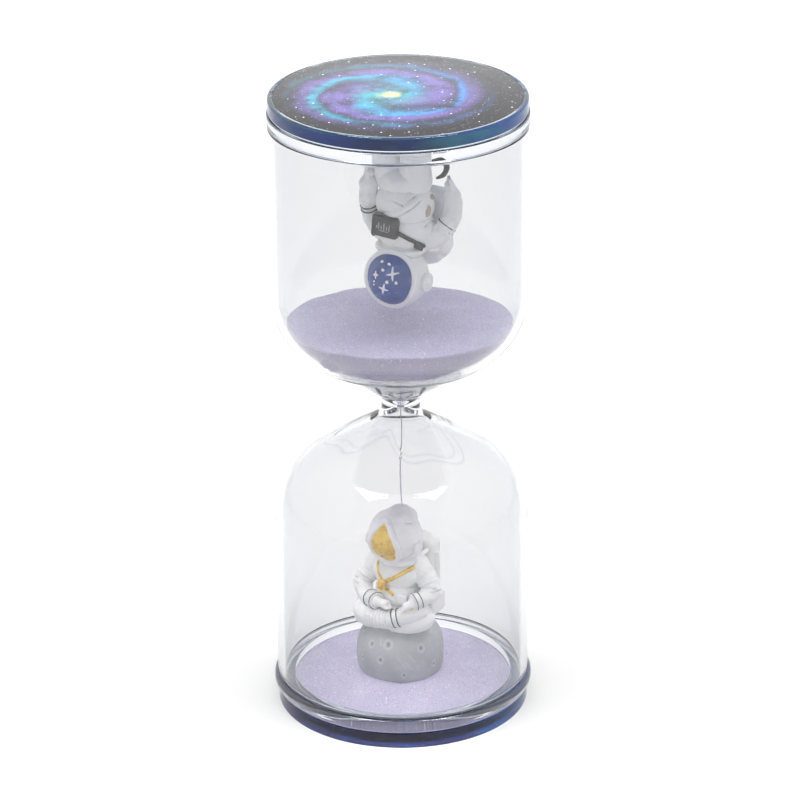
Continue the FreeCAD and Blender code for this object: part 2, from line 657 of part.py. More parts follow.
def main():
    fill_sheet()
    glass_body, bore = glass()
    pieces = [glass_body] + closed_end(LOWER) + closed_end(UPPER)
    seated = seated_figure()
    named = {piece.Label: piece for piece in seated}
    pieces += seated + hanging_figure()
    pieces += [sand_in_shoulder(bore), sand_on_disc(named["moon_base"]), sand_in_air(named["hood"])]
    doc.recompute()
    problems = faults(pieces)
    if problems:
        raise RuntimeError("; ".join(problems))
    os.makedirs("parts", exist_ok=True)
    for piece in pieces:
        piece.Shape.exportStep(f"parts/{piece.Label}.step")
    print(f"{len(pieces)} pieces written")


main()
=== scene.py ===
import math
import random

import bmesh
import bpy
import numpy as np
from mathutils import Euler, Matrix, Vector, noise
from mathutils.bvhtree import BVHTree


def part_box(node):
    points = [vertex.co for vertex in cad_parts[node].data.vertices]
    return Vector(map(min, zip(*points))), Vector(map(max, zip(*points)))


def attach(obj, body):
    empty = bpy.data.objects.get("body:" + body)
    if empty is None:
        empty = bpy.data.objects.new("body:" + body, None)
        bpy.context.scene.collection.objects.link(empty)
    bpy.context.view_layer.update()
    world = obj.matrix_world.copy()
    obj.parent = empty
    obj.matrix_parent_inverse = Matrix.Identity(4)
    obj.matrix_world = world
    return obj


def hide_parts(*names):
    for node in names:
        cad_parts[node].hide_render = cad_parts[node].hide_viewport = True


# The looks of a space hourglass: a flame-worked glass body between two printed clear discs, lilac sand, an
# astronaut seated on a moon in the lower bulb and another that hangs from the lid by its boots.
# Shapes are made in millimetres, figures in an upright frame of their own that faces -Y, and each finished
# mesh is then taken to its place in metres.

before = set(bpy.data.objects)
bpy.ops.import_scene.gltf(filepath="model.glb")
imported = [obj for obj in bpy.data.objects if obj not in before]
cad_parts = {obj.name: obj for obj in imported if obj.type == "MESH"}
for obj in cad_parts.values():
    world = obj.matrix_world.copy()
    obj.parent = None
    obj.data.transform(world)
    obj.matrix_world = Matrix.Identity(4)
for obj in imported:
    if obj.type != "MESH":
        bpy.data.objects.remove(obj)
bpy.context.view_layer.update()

MM = 0.001
TURNS = 192


def box_mm(node):
    """Lowest and highest corner of a CAD node, in millimetres."""
    low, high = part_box(node)
    return low / MM, high / MM


# ---------------------------------------------------------------- sizes, read from the frame or fitted to it

GLASS_LOW, GLASS_HIGH = box_mm("glass_body")
TUBE_RADIUS = GLASS_HIGH.x
WALL = 2.2
BORE_RADIUS = TUBE_RADIUS - WALL
NECK_LEVEL = box_mm("upper_disc")[1].z / 2
NECK_RADIUS = 6.1
NECK_HALF = 2.72
NECK_ROUND = 3.5
SHOULDER_ROUND = 24.0
SHOULDER_ANGLE = math.radians(58.3)
SHOULDER_SLOPE = math.tan(SHOULDER_ANGLE)
BORE_SHIFT = WALL / math.cos(SHOULDER_ANGLE)
SHOULDER_CORNER = NECK_HALF + (TUBE_RADIUS - NECK_RADIUS) / SHOULDER_SLOPE
THROAT_DEPTH = 7.0
THROAT_RADIUS = NECK_RADIUS + (THROAT_DEPTH - NECK_HALF) * SHOULDER_SLOPE - BORE_SHIFT
BORE_CORNER = THROAT_DEPTH + (BORE_RADIUS - THROAT_RADIUS) / SHOULDER_SLOPE
HOLE_RADIUS = 1.2
HOLE_HALF = 0.6
RIM_ROUND = 0.5

DISC_TOP = box_mm("lower_disc")[1].z
LID_UNDERSIDE = box_mm("upper_disc")[0].z
RING_BORE = {"lower": box_mm("lower_sand")[1].x, "upper": BORE_RADIUS - 0.2}

# Where the moon and its figure stand, across and back from the axis.
FIGURE_PLACE = (-0.8, 0.6)
SEATED = Matrix.Translation((*FIGURE_PLACE, DISC_TOP)) @ Matrix.Rotation(math.radians(-30), 4, "Z")
HANGING = (
    Matrix.Translation((1.5, 1.0, LID_UNDERSIDE))
    @ Matrix.Rotation(math.radians(-32), 4, "Z")
    @ Matrix.Rotation(math.pi, 4, "Y")
)


# ---------------------------------------------------------------- shader building

def add_node(tree, kind, sockets=None, **settings):
    """One node, with its settings and what each of its inputs holds or is linked to."""
    made = tree.nodes.new(kind)
    for name, value in settings.items():
        setattr(made, name, value)
    for name, value in (sockets or {}).items():
        if isinstance(value, bpy.types.NodeSocket):
            tree.links.new(value, made.inputs[name])
        else:
            made.inputs[name].default_value = value
    return made


def math_node(tree, operation, *values, clamp=False):
    made = add_node(tree, "ShaderNodeMath", dict(enumerate(values)), operation=operation, use_clamp=clamp)
    return made.outputs[0]


def mixed(tree, share, first, second, blend="MIX"):
    """Colour between two colours by share."""
    made = add_node(tree, "ShaderNodeMix", {0: share, 6: first, 7: second}, data_type="RGBA",
                    blend_type=blend)
    return made.outputs[2]


def spread(tree, value, low, high):
    """value mapped so that low is 0 and high is 1."""
    made = add_node(tree, "ShaderNodeMapRange", {0: value, 1: low, 2: high})
    return made.outputs[0]


def new_group(name, inputs, outputs):
    """A shader group with its sockets; inputs are (name, kind, default)."""
    tree = bpy.data.node_groups.new(name, "ShaderNodeTree")
    for socket, kind, value in inputs:
        made = tree.interface.new_socket(socket, in_out="INPUT", socket_type=kind)
        if value is not None:
            made.default_value = value
    for socket, kind in outputs:
        tree.interface.new_socket(socket, in_out="OUTPUT", socket_type=kind)
    return tree, tree.nodes.new("NodeGroupInput").outputs, tree.nodes.new("NodeGroupOutput").inputs


def use_group(tree, group, **sockets):
    made = tree.nodes.new("ShaderNodeGroup")
    made.node_tree = group
    for name, value in sockets.items():
        name = name.replace("_", " ")
        if isinstance(value, bpy.types.NodeSocket):
            tree.links.new(value, made.inputs[name])
        else:
            made.inputs[name].default_value = value
    return made.outputs


def rgb(red, green, blue):
    """An sRGB colour of 0 to 255 as the linear colour that shaders take."""
    shares = (red / 255, green / 255, blue / 255)
    return tuple(share / 12.92 if share <= 10 / 255 else ((share + 0.055) / 1.055) ** 2.4 for share in shares)


def rgba(red, green, blue):
    return (*rgb(red, green, blue), 1)


def unevenness_group():
    """Soft clouds and fine grain, for paint and resin that are never quite even."""
    tree, given, made = new_group(
        "unevenness",
        [("Vector", "NodeSocketVector", None), ("Size", "NodeSocketFloat", 4.0),
         ("Grain", "NodeSocketFloat", 0.3)],
        [("Value", "NodeSocketFloat"), ("Height", "NodeSocketFloat")],
    )
    per_size = math_node(tree, "DIVIDE", 1000.0, given["Size"])
    clouds = add_node(tree, "ShaderNodeTexNoise", {
        "Vector": given["Vector"], "Scale": per_size, "Detail": 5.0})
    per_grain = math_node(tree, "DIVIDE", 1000.0, given["Grain"])
    grain = add_node(tree, "ShaderNodeTexNoise", {
        "Vector": given["Vector"], "Scale": per_grain, "Detail": 2.0})
    tree.links.new(clouds.outputs[0], made["Value"])
    tree.links.new(grain.outputs[0], made["Height"])
    return tree


def speckle_group():
    """Scattered round specks: 1 inside a speck, 0 between."""
    tree, given, made = new_group(
        "speckle",
        [("Vector", "NodeSocketVector", None), ("Spacing", "NodeSocketFloat", 1.0),
         ("Speck", "NodeSocketFloat", 0.15), ("Share", "NodeSocketFloat", 0.5)],
        [("Mask", "NodeSocketFloat"), ("Tone", "NodeSocketFloat")],
    )
    scale = math_node(tree, "DIVIDE", 1000.0, given["Spacing"])
    cells = add_node(tree, "ShaderNodeTexVoronoi", {"Vector": given["Vector"], "Scale": scale})
    tone = add_node(tree, "ShaderNodeSeparateColor", {0: cells.outputs["Color"]})
    near = math_node(tree, "LESS_THAN", cells.outputs["Distance"], given["Speck"])
    kept = math_node(tree, "LESS_THAN", tone.outputs[0], given["Share"])
    tree.links.new(math_node(tree, "MULTIPLY", near, kept), made["Mask"])
    tree.links.new(tone.outputs[1], made["Tone"])
    return tree


def crease_group():
    """Painted shade: darkens what lies in creases towards the crease colour."""
    tree, given, made = new_group(
        "crease_shade",
        [("Color", "NodeSocketColor", (1, 1, 1, 1)), ("Crease", "NodeSocketColor", (0.5, 0.5, 0.5, 1)),
         ("Depth", "NodeSocketFloat", 1.0)],
        [("Color", "NodeSocketColor")],
    )
    bend = add_node(tree, "ShaderNodeNewGeometry").outputs["Pointiness"]
    hollow = spread(tree, bend, 0.495, 0.44)
    share = math_node(tree, "MULTIPLY", hollow, given["Depth"], clamp=True)
    tree.links.new(mixed(tree, share, given["Color"], given["Crease"]), made["Color"])
    return tree


def dust_group():
    """Sand dust that has settled on what faces up."""
    tree, given, made = new_group(
        "settled_dust",
        [("Vector", "NodeSocketVector", None), ("Color", "NodeSocketColor", (1, 1, 1, 1)),
         ("Dust", "NodeSocketColor", (0.6, 0.55, 0.75, 1)), ("Amount", "NodeSocketFloat", 0.5)],
        [("Color", "NodeSocketColor")],
    )
    outward = add_node(tree, "ShaderNodeNewGeometry").outputs["Normal"]
    up = add_node(tree, "ShaderNodeSeparateXYZ", {0: outward})
    facing = spread(tree, up.outputs[2], 0.2, 0.95)
    patches = add_node(tree, "ShaderNodeTexNoise", {"Vector": given["Vector"], "Scale": 350.0, "Detail": 4.0})
    patchy = spread(tree, patches.outputs[0], 0.3, 0.6)
    settled = math_node(tree, "MULTIPLY", facing, patchy)
    share = math_node(tree, "MULTIPLY", settled, given["Amount"], clamp=True)
    tree.links.new(mixed(tree, share, given["Color"], given["Dust"]), made["Color"])
    return tree


UNEVENNESS = unevenness_group()
SPECKLE = speckle_group()
CREASE = crease_group()
DUST = dust_group()


def new_material(name):
    """A material with its tree, its Principled shader and the Object coordinate."""
    made = bpy.data.materials.new(name)
    made.use_nodes = True
    tree = made.node_tree
    shader = tree.nodes["Principled BSDF"]
    place = add_node(tree, "ShaderNodeTexCoord").outputs["Object"]
    return made, tree, shader, place


def bumped(tree, shader, height, depth, strength=0.5):
    made = add_node(tree, "ShaderNodeBump", {"Height": height, "Distance": depth * MM, "Strength": strength})
    tree.links.new(made.outputs[0], shader.inputs["Normal"])


def lit_through(tree, shader, tint):
    """Lets lamps shine through a clear shader, tinted."""
    output = tree.nodes["Material Output"]
    path = add_node(tree, "ShaderNodeLightPath")
    clear = add_node(tree, "ShaderNodeBsdfTransparent", {0: tint})
    both = add_node(tree, "ShaderNodeMixShader", {0: path.outputs["Is Shadow Ray"], 1: shader.outputs[0],
                                                  2: clear.outputs[0]})
    tree.links.new(both.outputs[0], output.inputs["Surface"])


def flow_line_group():
    """Wavy flow lines that the flame left in the drawn shoulder: 1 on a line, 0 between."""
    tree, given, made = new_group(
        "flow_lines",
        [("Vector", "NodeSocketVector", None), ("Level", "NodeSocketFloat", 0.09),
         ("Swing", "NodeSocketFloat", 0.003), ("Width", "NodeSocketFloat", 0.0004),
         ("Turn", "NodeSocketFloat", 0.0)],
        [("Mask", "NodeSocketFloat")],
    )
    parts = add_node(tree, "ShaderNodeSeparateXYZ", {0: given["Vector"]}).outputs
    bearing = math_node(tree, "ADD", math_node(tree, "ARCTAN2", parts[1], parts[0]), given["Turn"])
    slow = math_node(tree, "SINE", math_node(tree, "MULTIPLY", bearing, 3.0))
    quick = math_node(tree, "SINE", math_node(tree, "MULTIPLY", bearing, 7.0))
    wave = math_node(tree, "ADD", slow, math_node(tree, "MULTIPLY", quick, 0.45))
    level = math_node(tree, "ADD", given["Level"], math_node(tree, "MULTIPLY", wave, given["Swing"]))
    away = math_node(tree, "ABSOLUTE", math_node(tree, "SUBTRACT", parts[2], level))
    tree.links.new(spread(tree, away, given["Width"], 0.0), made["Mask"])
    return tree


FLOW_LINES = flow_line_group()


def clear_material(name, face, edge, ior, size, ripple, shaded_flow_lines=0.0):
    """Glass or acrylic: clear face on, with painted shade that greys it where it turns away, faintly streaked
    and rippled.
    """
    made, tree, shader, place = new_material(name)
    uneven = use_group(tree, UNEVENNESS, Vector=place, Size=size, Grain=size / 6)
    turned = add_node(tree, "ShaderNodeLayerWeight", {0: 0.35}).outputs["Facing"]
    turned = math_node(tree, "POWER", turned, 1.6)
    streaked = math_node(tree, "MULTIPLY", uneven["Value"], 0.05)
    share = math_node(tree, "ADD", turned, streaked, clamp=True)
    # Painted shade: the edge colour greys the surface as it turns away from view.
    colour = mixed(tree, share, rgba(*face), rgba(*edge))
    lower = use_group(tree, FLOW_LINES, Vector=place, Level=0.0905, Swing=0.0028, Width=0.00045, Turn=0.4)
    upper = use_group(tree, FLOW_LINES, Vector=place, Level=0.1125, Swing=0.0022, Width=0.0004, Turn=1.7)
    drawn = math_node(tree, "MULTIPLY", math_node(tree, "MAXIMUM", lower["Mask"], upper["Mask"]), shaded_flow_lines)
    # Painted shade: the flow lines are raised by the bump and also painted grey.
    colour = mixed(tree, math_node(tree, "MULTIPLY", drawn, 0.5, clamp=True), colour, rgba(176, 180, 190))
    tree.links.new(colour, shader.inputs["Base Color"])
    shader.inputs["Roughness"].default_value = 0.0
    shader.inputs["Transmission Weight"].default_value = 1.0
    shader.inputs["IOR"].default_value = ior
    raised = math_node(tree, "ADD", uneven["Value"], math_node(tree, "MULTIPLY", drawn, 3.0))
    bumped(tree, shader, raised, ripple, 0.3)
    lit_through(tree, shader, (0.97, 0.97, 0.975, 1))
    return made


def sand_material(name, low, high, shadow):
    """Dyed quartz sand: each grain its own lilac, with painted shadow in fine patches, painted white glints
    and a few dark grains.
    """
    made, tree, shader, place = new_material(name)
    tone = add_node(tree, "ShaderNodeAttribute", attribute_name="tone").outputs["Fac"]
    clouds = use_group(tree, UNEVENNESS, Vector=place, Size=9.0, Grain=0.35)
    base = mixed(tree, spread(tree, clouds["Value"], 0.3, 0.7), rgba(*low), rgba(*high))
    # Painted shadow: fine grain-sized patches darkened towards the shadow colour.
    grains = mixed(tree, spread(tree, clouds["Height"], 0.35, 0.68), base, rgba(*shadow))
    light = use_group(tree, SPECKLE, Vector=place, Spacing=0.9, Speck=0.24, Share=0.16)
    dark = use_group(tree, SPECKLE, Vector=place, Spacing=1.7, Speck=0.13, Share=0.12)
    # Painted highlight: white glints scattered over the sand.
    colour = mixed(tree, light["Mask"], grains, rgba(248, 246, 252))
    colour = mixed(tree, dark["Mask"], colour, rgba(140, 132, 176))
    colour = mixed(tree, math_node(tree, "MULTIPLY", tone, 0.6), colour, rgba(240, 238, 248))
    tree.links.new(colour, shader.inputs["Base Color"])
    tree.links.new(spread(tree, clouds["Height"], -0.2, 1.1), shader.inputs["Roughness"])
    shader.inputs["Specular IOR Level"].default_value = 0.4
    bumped(tree, shader, clouds["Height"], 0.12, 0.5)
    return made


def moon_material():
    """Grey cast resin: chalky, with painted shade in the craters and creases, a painted highlight on the
    crater rims, and pale scratches.
    """
    made, tree, shader, place = new_material("moon_resin")
    pale = add_node(tree, "ShaderNodeAttribute", attribute_name="pale").outputs["Fac"]
    deep = add_node(tree, "ShaderNodeAttribute", attribute_name="deep").outputs["Fac"]
    uneven = use_group(tree, UNEVENNESS, Vector=place, Size=11.0, Grain=0.5)
    base = mixed(tree, spread(tree, uneven["Value"], 0.35, 0.65), rgba(166, 168, 173), rgba(186, 188, 192))
    # The pale mix is a painted highlight on the crater rims and the pale of the scratches.
    worn = mixed(tree, pale, base, rgba(216, 217, 221))
    # Painted shade deep in the craters.
    pitted = mixed(tree, deep, worn, rgba(112, 113, 120))
    # Painted shade in creases.
    shaded = use_group(tree, CREASE, Color=pitted, Crease=rgba(130, 131, 138), Depth=0.5)["Color"]
    tree.links.new(shaded, shader.inputs["Base Color"])
    tree.links.new(spread(tree, uneven["Value"], -0.9, 1.3), shader.inputs["Roughness"])
    bumped(tree, shader, uneven["Height"], 0.05, 0.6)
    return made


def suit_material(name, colour, crease, dust, shine=0.45):
    """White paint on cast resin: not quite even, with painted shade in its creases, and settled sand dust."""
    made, tree, shader, place = new_material(name)
    uneven = use_group(tree, UNEVENNESS, Vector=place, Size=5.0, Grain=0.28)
    shade = tuple(channel - 7 for channel in colour)
    base = mixed(tree, spread(tree, uneven["Value"], 0.35, 0.68), rgba(*shade), rgba(*colour))
    # Painted shade: the crease colour darkens the creases.
    creased = use_group(tree, CREASE, Color=base, Crease=rgba(*crease), Depth=0.85)["Color"]
    dusty = use_group(tree, DUST, Vector=place, Color=creased, Dust=rgba(205, 198, 222), Amount=dust)["Color"]
    tree.links.new(dusty, shader.inputs["Base Color"])
    tree.links.new(spread(tree, uneven["Value"], 0.5 - shine * 1.6, 1.25), shader.inputs["Roughness"])
    bumped(tree, shader, uneven["Height"], 0.03, 0.4)
    return made


def metal_paint_material(name, colour, dark, sheen_colour):
    """Metallic paint laid on by hand: brushed unevenly, with a pale painted sheen in fine flecks and painted
    shade in its creases.
    """
    made, tree, shader, place = new_material(name)
    uneven = use_group(tree, UNEVENNESS, Vector=place, Size=3.0, Grain=0.35)
    base = mixed(tree, spread(tree, uneven["Value"], 0.36, 0.64), rgba(*dark), rgba(*colour))
    # Painted sheen: fine flecks of the sheen colour.
    base = mixed(tree, spread(tree, uneven["Height"], 0.55, 0.75), base, rgba(*sheen_colour))
    # Painted shade in creases.
    creased = use_group(tree, CREASE, Color=base, Crease=rgba(150, 108, 40), Depth=0.7)["Color"]
    tree.links.new(creased, shader.inputs["Base Color"])
    shader.inputs["Metallic"].default_value = 0.55
    tree.links.new(spread(tree, uneven["Value"], 0.0, 1.6), shader.inputs["Roughness"])
    bumped(tree, shader, uneven["Height"], 0.05, 0.5)
    return made


def gloss_paint_material(name, colour, deep, fleck, gloss):
    """Dark or coloured paint with brush clouds and fine pale flecks."""
    made, tree, shader, place = new_material(name)
    uneven = use_group(tree, UNEVENNESS, Vector=place, Size=3.5, Grain=0.3)
    flecks = use_group(tree, SPECKLE, Vector=place, Spacing=0.8, Speck=0.12, Share=0.3)
    base = mixed(tree, spread(tree, uneven["Value"], 0.32, 0.68), rgba(*deep), rgba(*colour))
    flecked = mixed(tree, math_node(tree, "MULTIPLY", flecks["Mask"], 0.5), base, rgba(*fleck))
    tree.links.new(flecked, shader.inputs["Base Color"])
    worn = spread(tree, uneven["Value"], 0.9 - gloss * 1.4, 1.5 - gloss * 0.2)
    tree.links.new(worn, shader.inputs["Roughness"])
    bumped(tree, shader, uneven["Height"], 0.03, 0.4)
    return made


# The galaxy print: its core is a little off the middle, and two arms wind out from it.
GALAXY_CORE = (-2.6, 0.0, 0.0)
GALAXY_TWIST = 1.7
GALAXY_REACH = 33.0


def galaxy_group():
    """A two-armed spiral with a pale core, in millimetres about the core: colour over a dark ground."""
    tree, given, made = new_group(
        "spiral_galaxy",
        [("Vector", "NodeSocketVector", None), ("Twist", "NodeSocketFloat", GALAXY_TWIST),
         ("Reach", "NodeSocketFloat", GALAXY_REACH), ("Ground", "NodeSocketColor", (0, 0, 0, 1)),
         ("Glow", "NodeSocketFloat", 1.0)],
        [("Color", "NodeSocketColor")],
    )
    wisp = add_node(tree, "ShaderNodeTexNoise", {"Vector": given["Vector"], "Scale": 0.14, "Detail": 5.0,
                                                 "Roughness": 0.62})
    offset = add_node(tree, "ShaderNodeVectorMath", {0: wisp.outputs["Color"], 1: (0.5, 0.5, 0.5)},
                      operation="SUBTRACT")
    sway = add_node(tree, "ShaderNodeVectorMath", {0: offset.outputs[0], "Scale": 7.0}, operation="SCALE")
    bent = add_node(tree, "ShaderNodeVectorMath", {0: given["Vector"], 1: sway.outputs[0]}, operation="ADD")
    parts = add_node(tree, "ShaderNodeSeparateXYZ", {0: bent.outputs[0]})
    across, along = parts.outputs[0], parts.outputs[1]
    radius = math_node(tree, "SQRT", math_node(tree, "ADD", math_node(tree, "MULTIPLY", across, across),
                                               math_node(tree, "MULTIPLY", along, along)))
    bearing = math_node(tree, "ARCTAN2", along, across)
    wound = math_node(tree, "MULTIPLY", math_node(tree, "LOGARITHM", math_node(tree, "ADD", radius, 0.8),
                                                  math.e), given["Twist"])
    outer = math_node(tree, "MAXIMUM", math_node(tree, "SUBTRACT", radius, 19.0), 0.0)
    wound = math_node(tree, "ADD", wound, math_node(tree, "MULTIPLY", outer, 0.26))
    phase = math_node(tree, "MULTIPLY", math_node(tree, "SUBTRACT", bearing, wound), 2.0)
    wave = math_node(tree, "COSINE", math_node(tree, "ADD", phase, 0.28))
    arm = spread(tree, wave, -0.35, 1.0)
    thin_arm = math_node(tree, "POWER", arm, 1.7)
    second = math_node(tree, "COSINE", math_node(tree, "ADD", phase, 2.7))
    violet_arm = math_node(tree, "POWER", spread(tree, second, -1.1, 1.0), 0.9)
    falling = spread(tree, radius, given["Reach"], math_node(tree, "MULTIPLY", given["Reach"], 0.68))
    clouds = spread(tree, wisp.outputs[0], 0.26, 0.58)
    body = math_node(tree, "MULTIPLY", falling, clouds)
    haze = math_node(tree, "MULTIPLY", body, math_node(tree, "MULTIPLY", violet_arm, given["Glow"]))
    bright = math_node(tree, "MULTIPLY", body, math_node(tree, "MULTIPLY", thin_arm, given["Glow"]))
    hazed = math_node(tree, "MULTIPLY", haze, 0.85, clamp=True)
    colour = mixed(tree, hazed, given["Ground"], rgba(102, 88, 158))
    cool = mixed(tree, spread(tree, across, -14.0, 22.0), rgba(52, 150, 180), rgba(66, 122, 194))
    colour = mixed(tree, math_node(tree, "MULTIPLY", bright, 0.8, clamp=True), colour, cool)
    inner = spread(tree, radius, 14.0, 3.0)
    glowing = math_node(tree, "MULTIPLY", inner, clouds)
    colour = mixed(tree, math_node(tree, "MULTIPLY", glowing, 0.8, clamp=True), colour, rgba(56, 160, 160))
    core = math_node(tree, "POWER", spread(tree, radius, 4.2, 0.9), 1.5)
    colour = mixed(tree, core, colour, rgba(228, 232, 150))
    tree.links.new(colour, made["Color"])
    return tree


GALAXY = galaxy_group()


def ink_material(name, left, right, patch):
    """The back of the print, deep blue ink with paler drifts, seen through the acrylic without a shine."""
    made, tree, shader, place = new_material(name)
    drifts = use_group(tree, UNEVENNESS, Vector=place, Size=22.0, Grain=3.0)
    side = add_node(tree, "ShaderNodeSeparateXYZ", {0: place}).outputs[0]
    ground = mixed(tree, spread(tree, side, -0.034, 0.030), rgba(*left), rgba(*right))
    drifted = mixed(tree, spread(tree, drifts["Value"], 0.46, 0.64), ground, rgba(*patch))
    stars = use_group(tree, SPECKLE, Vector=place, Spacing=1.4, Speck=0.14, Share=0.25)
    tree.links.new(mixed(tree, math_node(tree, "MULTIPLY", stars["Mask"], 0.5), drifted, rgba(210, 216, 240)),
                   shader.inputs["Base Color"])
    shader.inputs["Roughness"].default_value = 0.9
    shader.inputs["Specular IOR Level"].default_value = 0.0
    return made


def galaxy_material(name, ground, glow, turn):
    """Printed film, seen from outside: the galaxy, its side clouds and its stars."""
    made, tree, shader, place = new_material(name)
    centred = add_node(tree, "ShaderNodeMapping", {
        "Vector": place, "Location": tuple(-c for c in GALAXY_CORE), "Scale": (1000, 1000, 1000)})
    turned = add_node(tree, "ShaderNodeMapping", {"Vector": centred.outputs[0], "Rotation": (0, 0, turn)})
    spiral = use_group(tree, GALAXY, Vector=turned.outputs[0], Ground=rgba(*ground), Glow=glow)["Color"]
    stars = use_group(tree, SPECKLE, Vector=place, Spacing=0.62, Speck=0.2, Share=0.3)
    big = use_group(tree, SPECKLE, Vector=place, Spacing=2.6, Speck=0.12, Share=0.34)
    lit = math_node(tree, "MAXIMUM", math_node(tree, "MULTIPLY", stars["Mask"], stars["Tone"]), big["Mask"])
    face = mixed(tree, math_node(tree, "MULTIPLY", lit, 0.85), spiral, rgba(236, 228, 244))
    nebula = use_group(tree, UNEVENNESS, Vector=place, Size=26.0, Grain=4.0)
    tree.links.new(face, shader.inputs["Base Color"])
    tree.links.new(spread(tree, nebula["Height"], -1.2, 6.0), shader.inputs["Roughness"])
    shader.inputs["Specular IOR Level"].default_value = 0.5
    return made


def floor_material():
    made, tree, shader, place = new_material("studio_floor")
    uneven = use_group(tree, UNEVENNESS, Vector=place, Size=400.0, Grain=90.0)
    share = spread(tree, uneven["Value"], 0.3, 0.7)
    colour = mixed(tree, share, (0.69, 0.69, 0.69, 1), (0.71, 0.71, 0.71, 1))
    tree.links.new(colour, shader.inputs["Base Color"])
    shader.inputs["Roughness"].default_value = 0.9
    shader.inputs["Specular IOR Level"].default_value = 0.1
    return made


# The second colour of each clear material is its painted shade at grazing angles.
GLASS = clear_material("clear_glass", (236, 236, 237), (204, 207, 213), 1.47, 60.0, 0.02, shaded_flow_lines=1.0)
DISC_ACRYLIC = clear_material("disc_acrylic", (250, 252, 252), (196, 214, 216), 1.49, 40.0, 0.01)
COLLAR_ACRYLIC = clear_material("collar_acrylic", (250, 251, 252), (190, 202, 216), 1.49, 14.0, 0.05)
BOND = clear_material("clear_adhesive", (206, 210, 220), (120, 128, 150), 1.44, 6.0, 0.05)
SAND = sand_material("lilac_sand", (196, 190, 216), (214, 209, 230), (182, 175, 204))
# A paler copy of the same sand for the falling stream: painted light.
LIT_STREAM_SAND = sand_material("lit_stream_lilac_sand", (226, 220, 242), (238, 234, 248), (214, 207, 234))
MOON = moon_material()
# The third colour of each white paint is its painted crease shade.
SUIT = suit_material("suit_white", (250, 250, 250), (182, 180, 194), 0.12)
HOOD_PAINT = suit_material("hood_white", (249, 248, 250), (190, 187, 202), 0.5)
HANGING_SUIT = suit_material("hanging_suit_white", (250, 250, 250), (170, 170, 178), 0.0)
GOLD = metal_paint_material("gold_paint", (240, 206, 108), (216, 174, 76), (254, 240, 178))
BLUE = gloss_paint_material("blue_paint", (70, 98, 170), (48, 70, 136), (120, 140, 200), 0.42)
CHARCOAL = gloss_paint_material("charcoal_paint", (72, 72, 75), (44, 44, 47), (120, 120, 124), 0.3)
SOLE = gloss_paint_material("sole_grey", (86, 88, 94), (60, 62, 68), (130, 132, 138), 0.2)
WHITE_MARK = suit_material("white_mark", (248, 248, 250), (220, 222, 232), 0.0)
TAN = gloss_paint_material("belt_tan", (206, 192, 176), (176, 158, 142), (226, 216, 204), 0.2)
MARK_SILVER = gloss_paint_material("mark_silver", (196, 197, 200), (150, 151, 155), (230, 230, 232), 0.4)
UPPER_PRINT = galaxy_material("upper_galaxy_print", (12, 13, 24), 1.25, 0.0)
LOWER_PRINT = galaxy_material("lower_galaxy_print", (10, 11, 24), 1.0, 2.2)
UPPER_INK = ink_material("upper_print_ink", (52, 60, 156), (26, 132, 232), (92, 206, 214))
LOWER_INK = ink_material("lower_print_ink", (44, 47, 88), (50, 56, 104), (40, 84, 142))


# ---------------------------------------------------------------- mesh building, in millimetres

def new_piece(name, mesh, material):
    made = bpy.data.objects.new(name, mesh)
    bpy.context.scene.collection.objects.link(made)
    mesh.materials.clear()
    mesh.materials.append(material)
    return made


def from_bmesh(name, bm, material):
    mesh = bpy.data.meshes.new(name)
    bm.to_mesh(mesh)
    bm.free()
    return new_piece(name, mesh, material)


def evaluated(piece):
    """Makes the piece's modifiers into its mesh."""
    depsgraph = bpy.context.evaluated_depsgraph_get()
    mesh = bpy.data.meshes.new_from_object(piece.evaluated_get(depsgraph))
    piece.modifiers.clear()
    old, piece.data = piece.data, mesh
    mesh.name = piece.name
    bpy.data.meshes.remove(old)
    return piece


def finish_piece(piece, place, slot, *nodes, sharp=0.7):
    """Takes a piece made in millimetres to its place in metres and hands it to the frame."""
    mesh = piece.data
    mesh.transform(Matrix.Diagonal((MM, MM, MM, 1)) @ place)
    mesh.shade_smooth()
    if sharp:
        mesh.set_sharp_from_angle(angle=sharp)
    mesh.update()
    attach(piece, "root")
    if nodes:
        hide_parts(*nodes)
    return piece


def round_corner(before, corner, after, radius):
    """Points of the round that takes a corner's place in an outline."""
    a, b, c = Vector(before), Vector(corner), Vector(after)
    first, second = (a - b).normalized(), (c - b).normalized()
    half = math.acos(max(-1, min(1, first.dot(second)))) / 2
    centre = b + (first + second).normalized() * (radius / math.sin(half))
    start = b + first * (radius / math.tan(half)) - centre
    end = b + second * (radius / math.tan(half)) - centre
    begin = math.atan2(start.y, start.x)
    sweep = (math.atan2(end.y, end.x) - begin + math.pi) % (2 * math.pi) - math.pi
    steps = max(3, round(abs(sweep) * math.sqrt(radius) * 5))
    angles = (begin + sweep * step / steps for step in range(steps + 1))
    return [(centre.x + radius * math.cos(angle), centre.y + radius * math.sin(angle)) for angle in angles]


def outline_of(corners):
    """A closed outline of (radius, height) points from (radius, height, rounding) corners."""
    points = []
    for number, (radius, height, rounding) in enumerate(corners):
        if rounding:
            before, after = corners[number - 1], corners[(number + 1) % len(corners)]
            points += round_corner(before[:2], (radius, height), after[:2], rounding)
        else:
            points.append((radius, height))
    return points


def stepped(outline, longest=2.0):
    """The outline with its long straight runs cut into short ones, so that smooth shading stays true."""
    found = []
    for here, ahead in zip(outline, outline[1:] + outline[:1]):
        found.append(here)
        gap = math.dist(here, ahead)
        if gap > longest and min(here[0], ahead[0]) > 0.001:
            count = math.ceil(gap / longest)
            shares = [0.06 / gap] + [k / count for k in range(1, count)] + [1 - 0.06 / gap]
            found += [tuple(a + (b - a) * share for a, b in zip(here, ahead)) for share in shares]
    return found


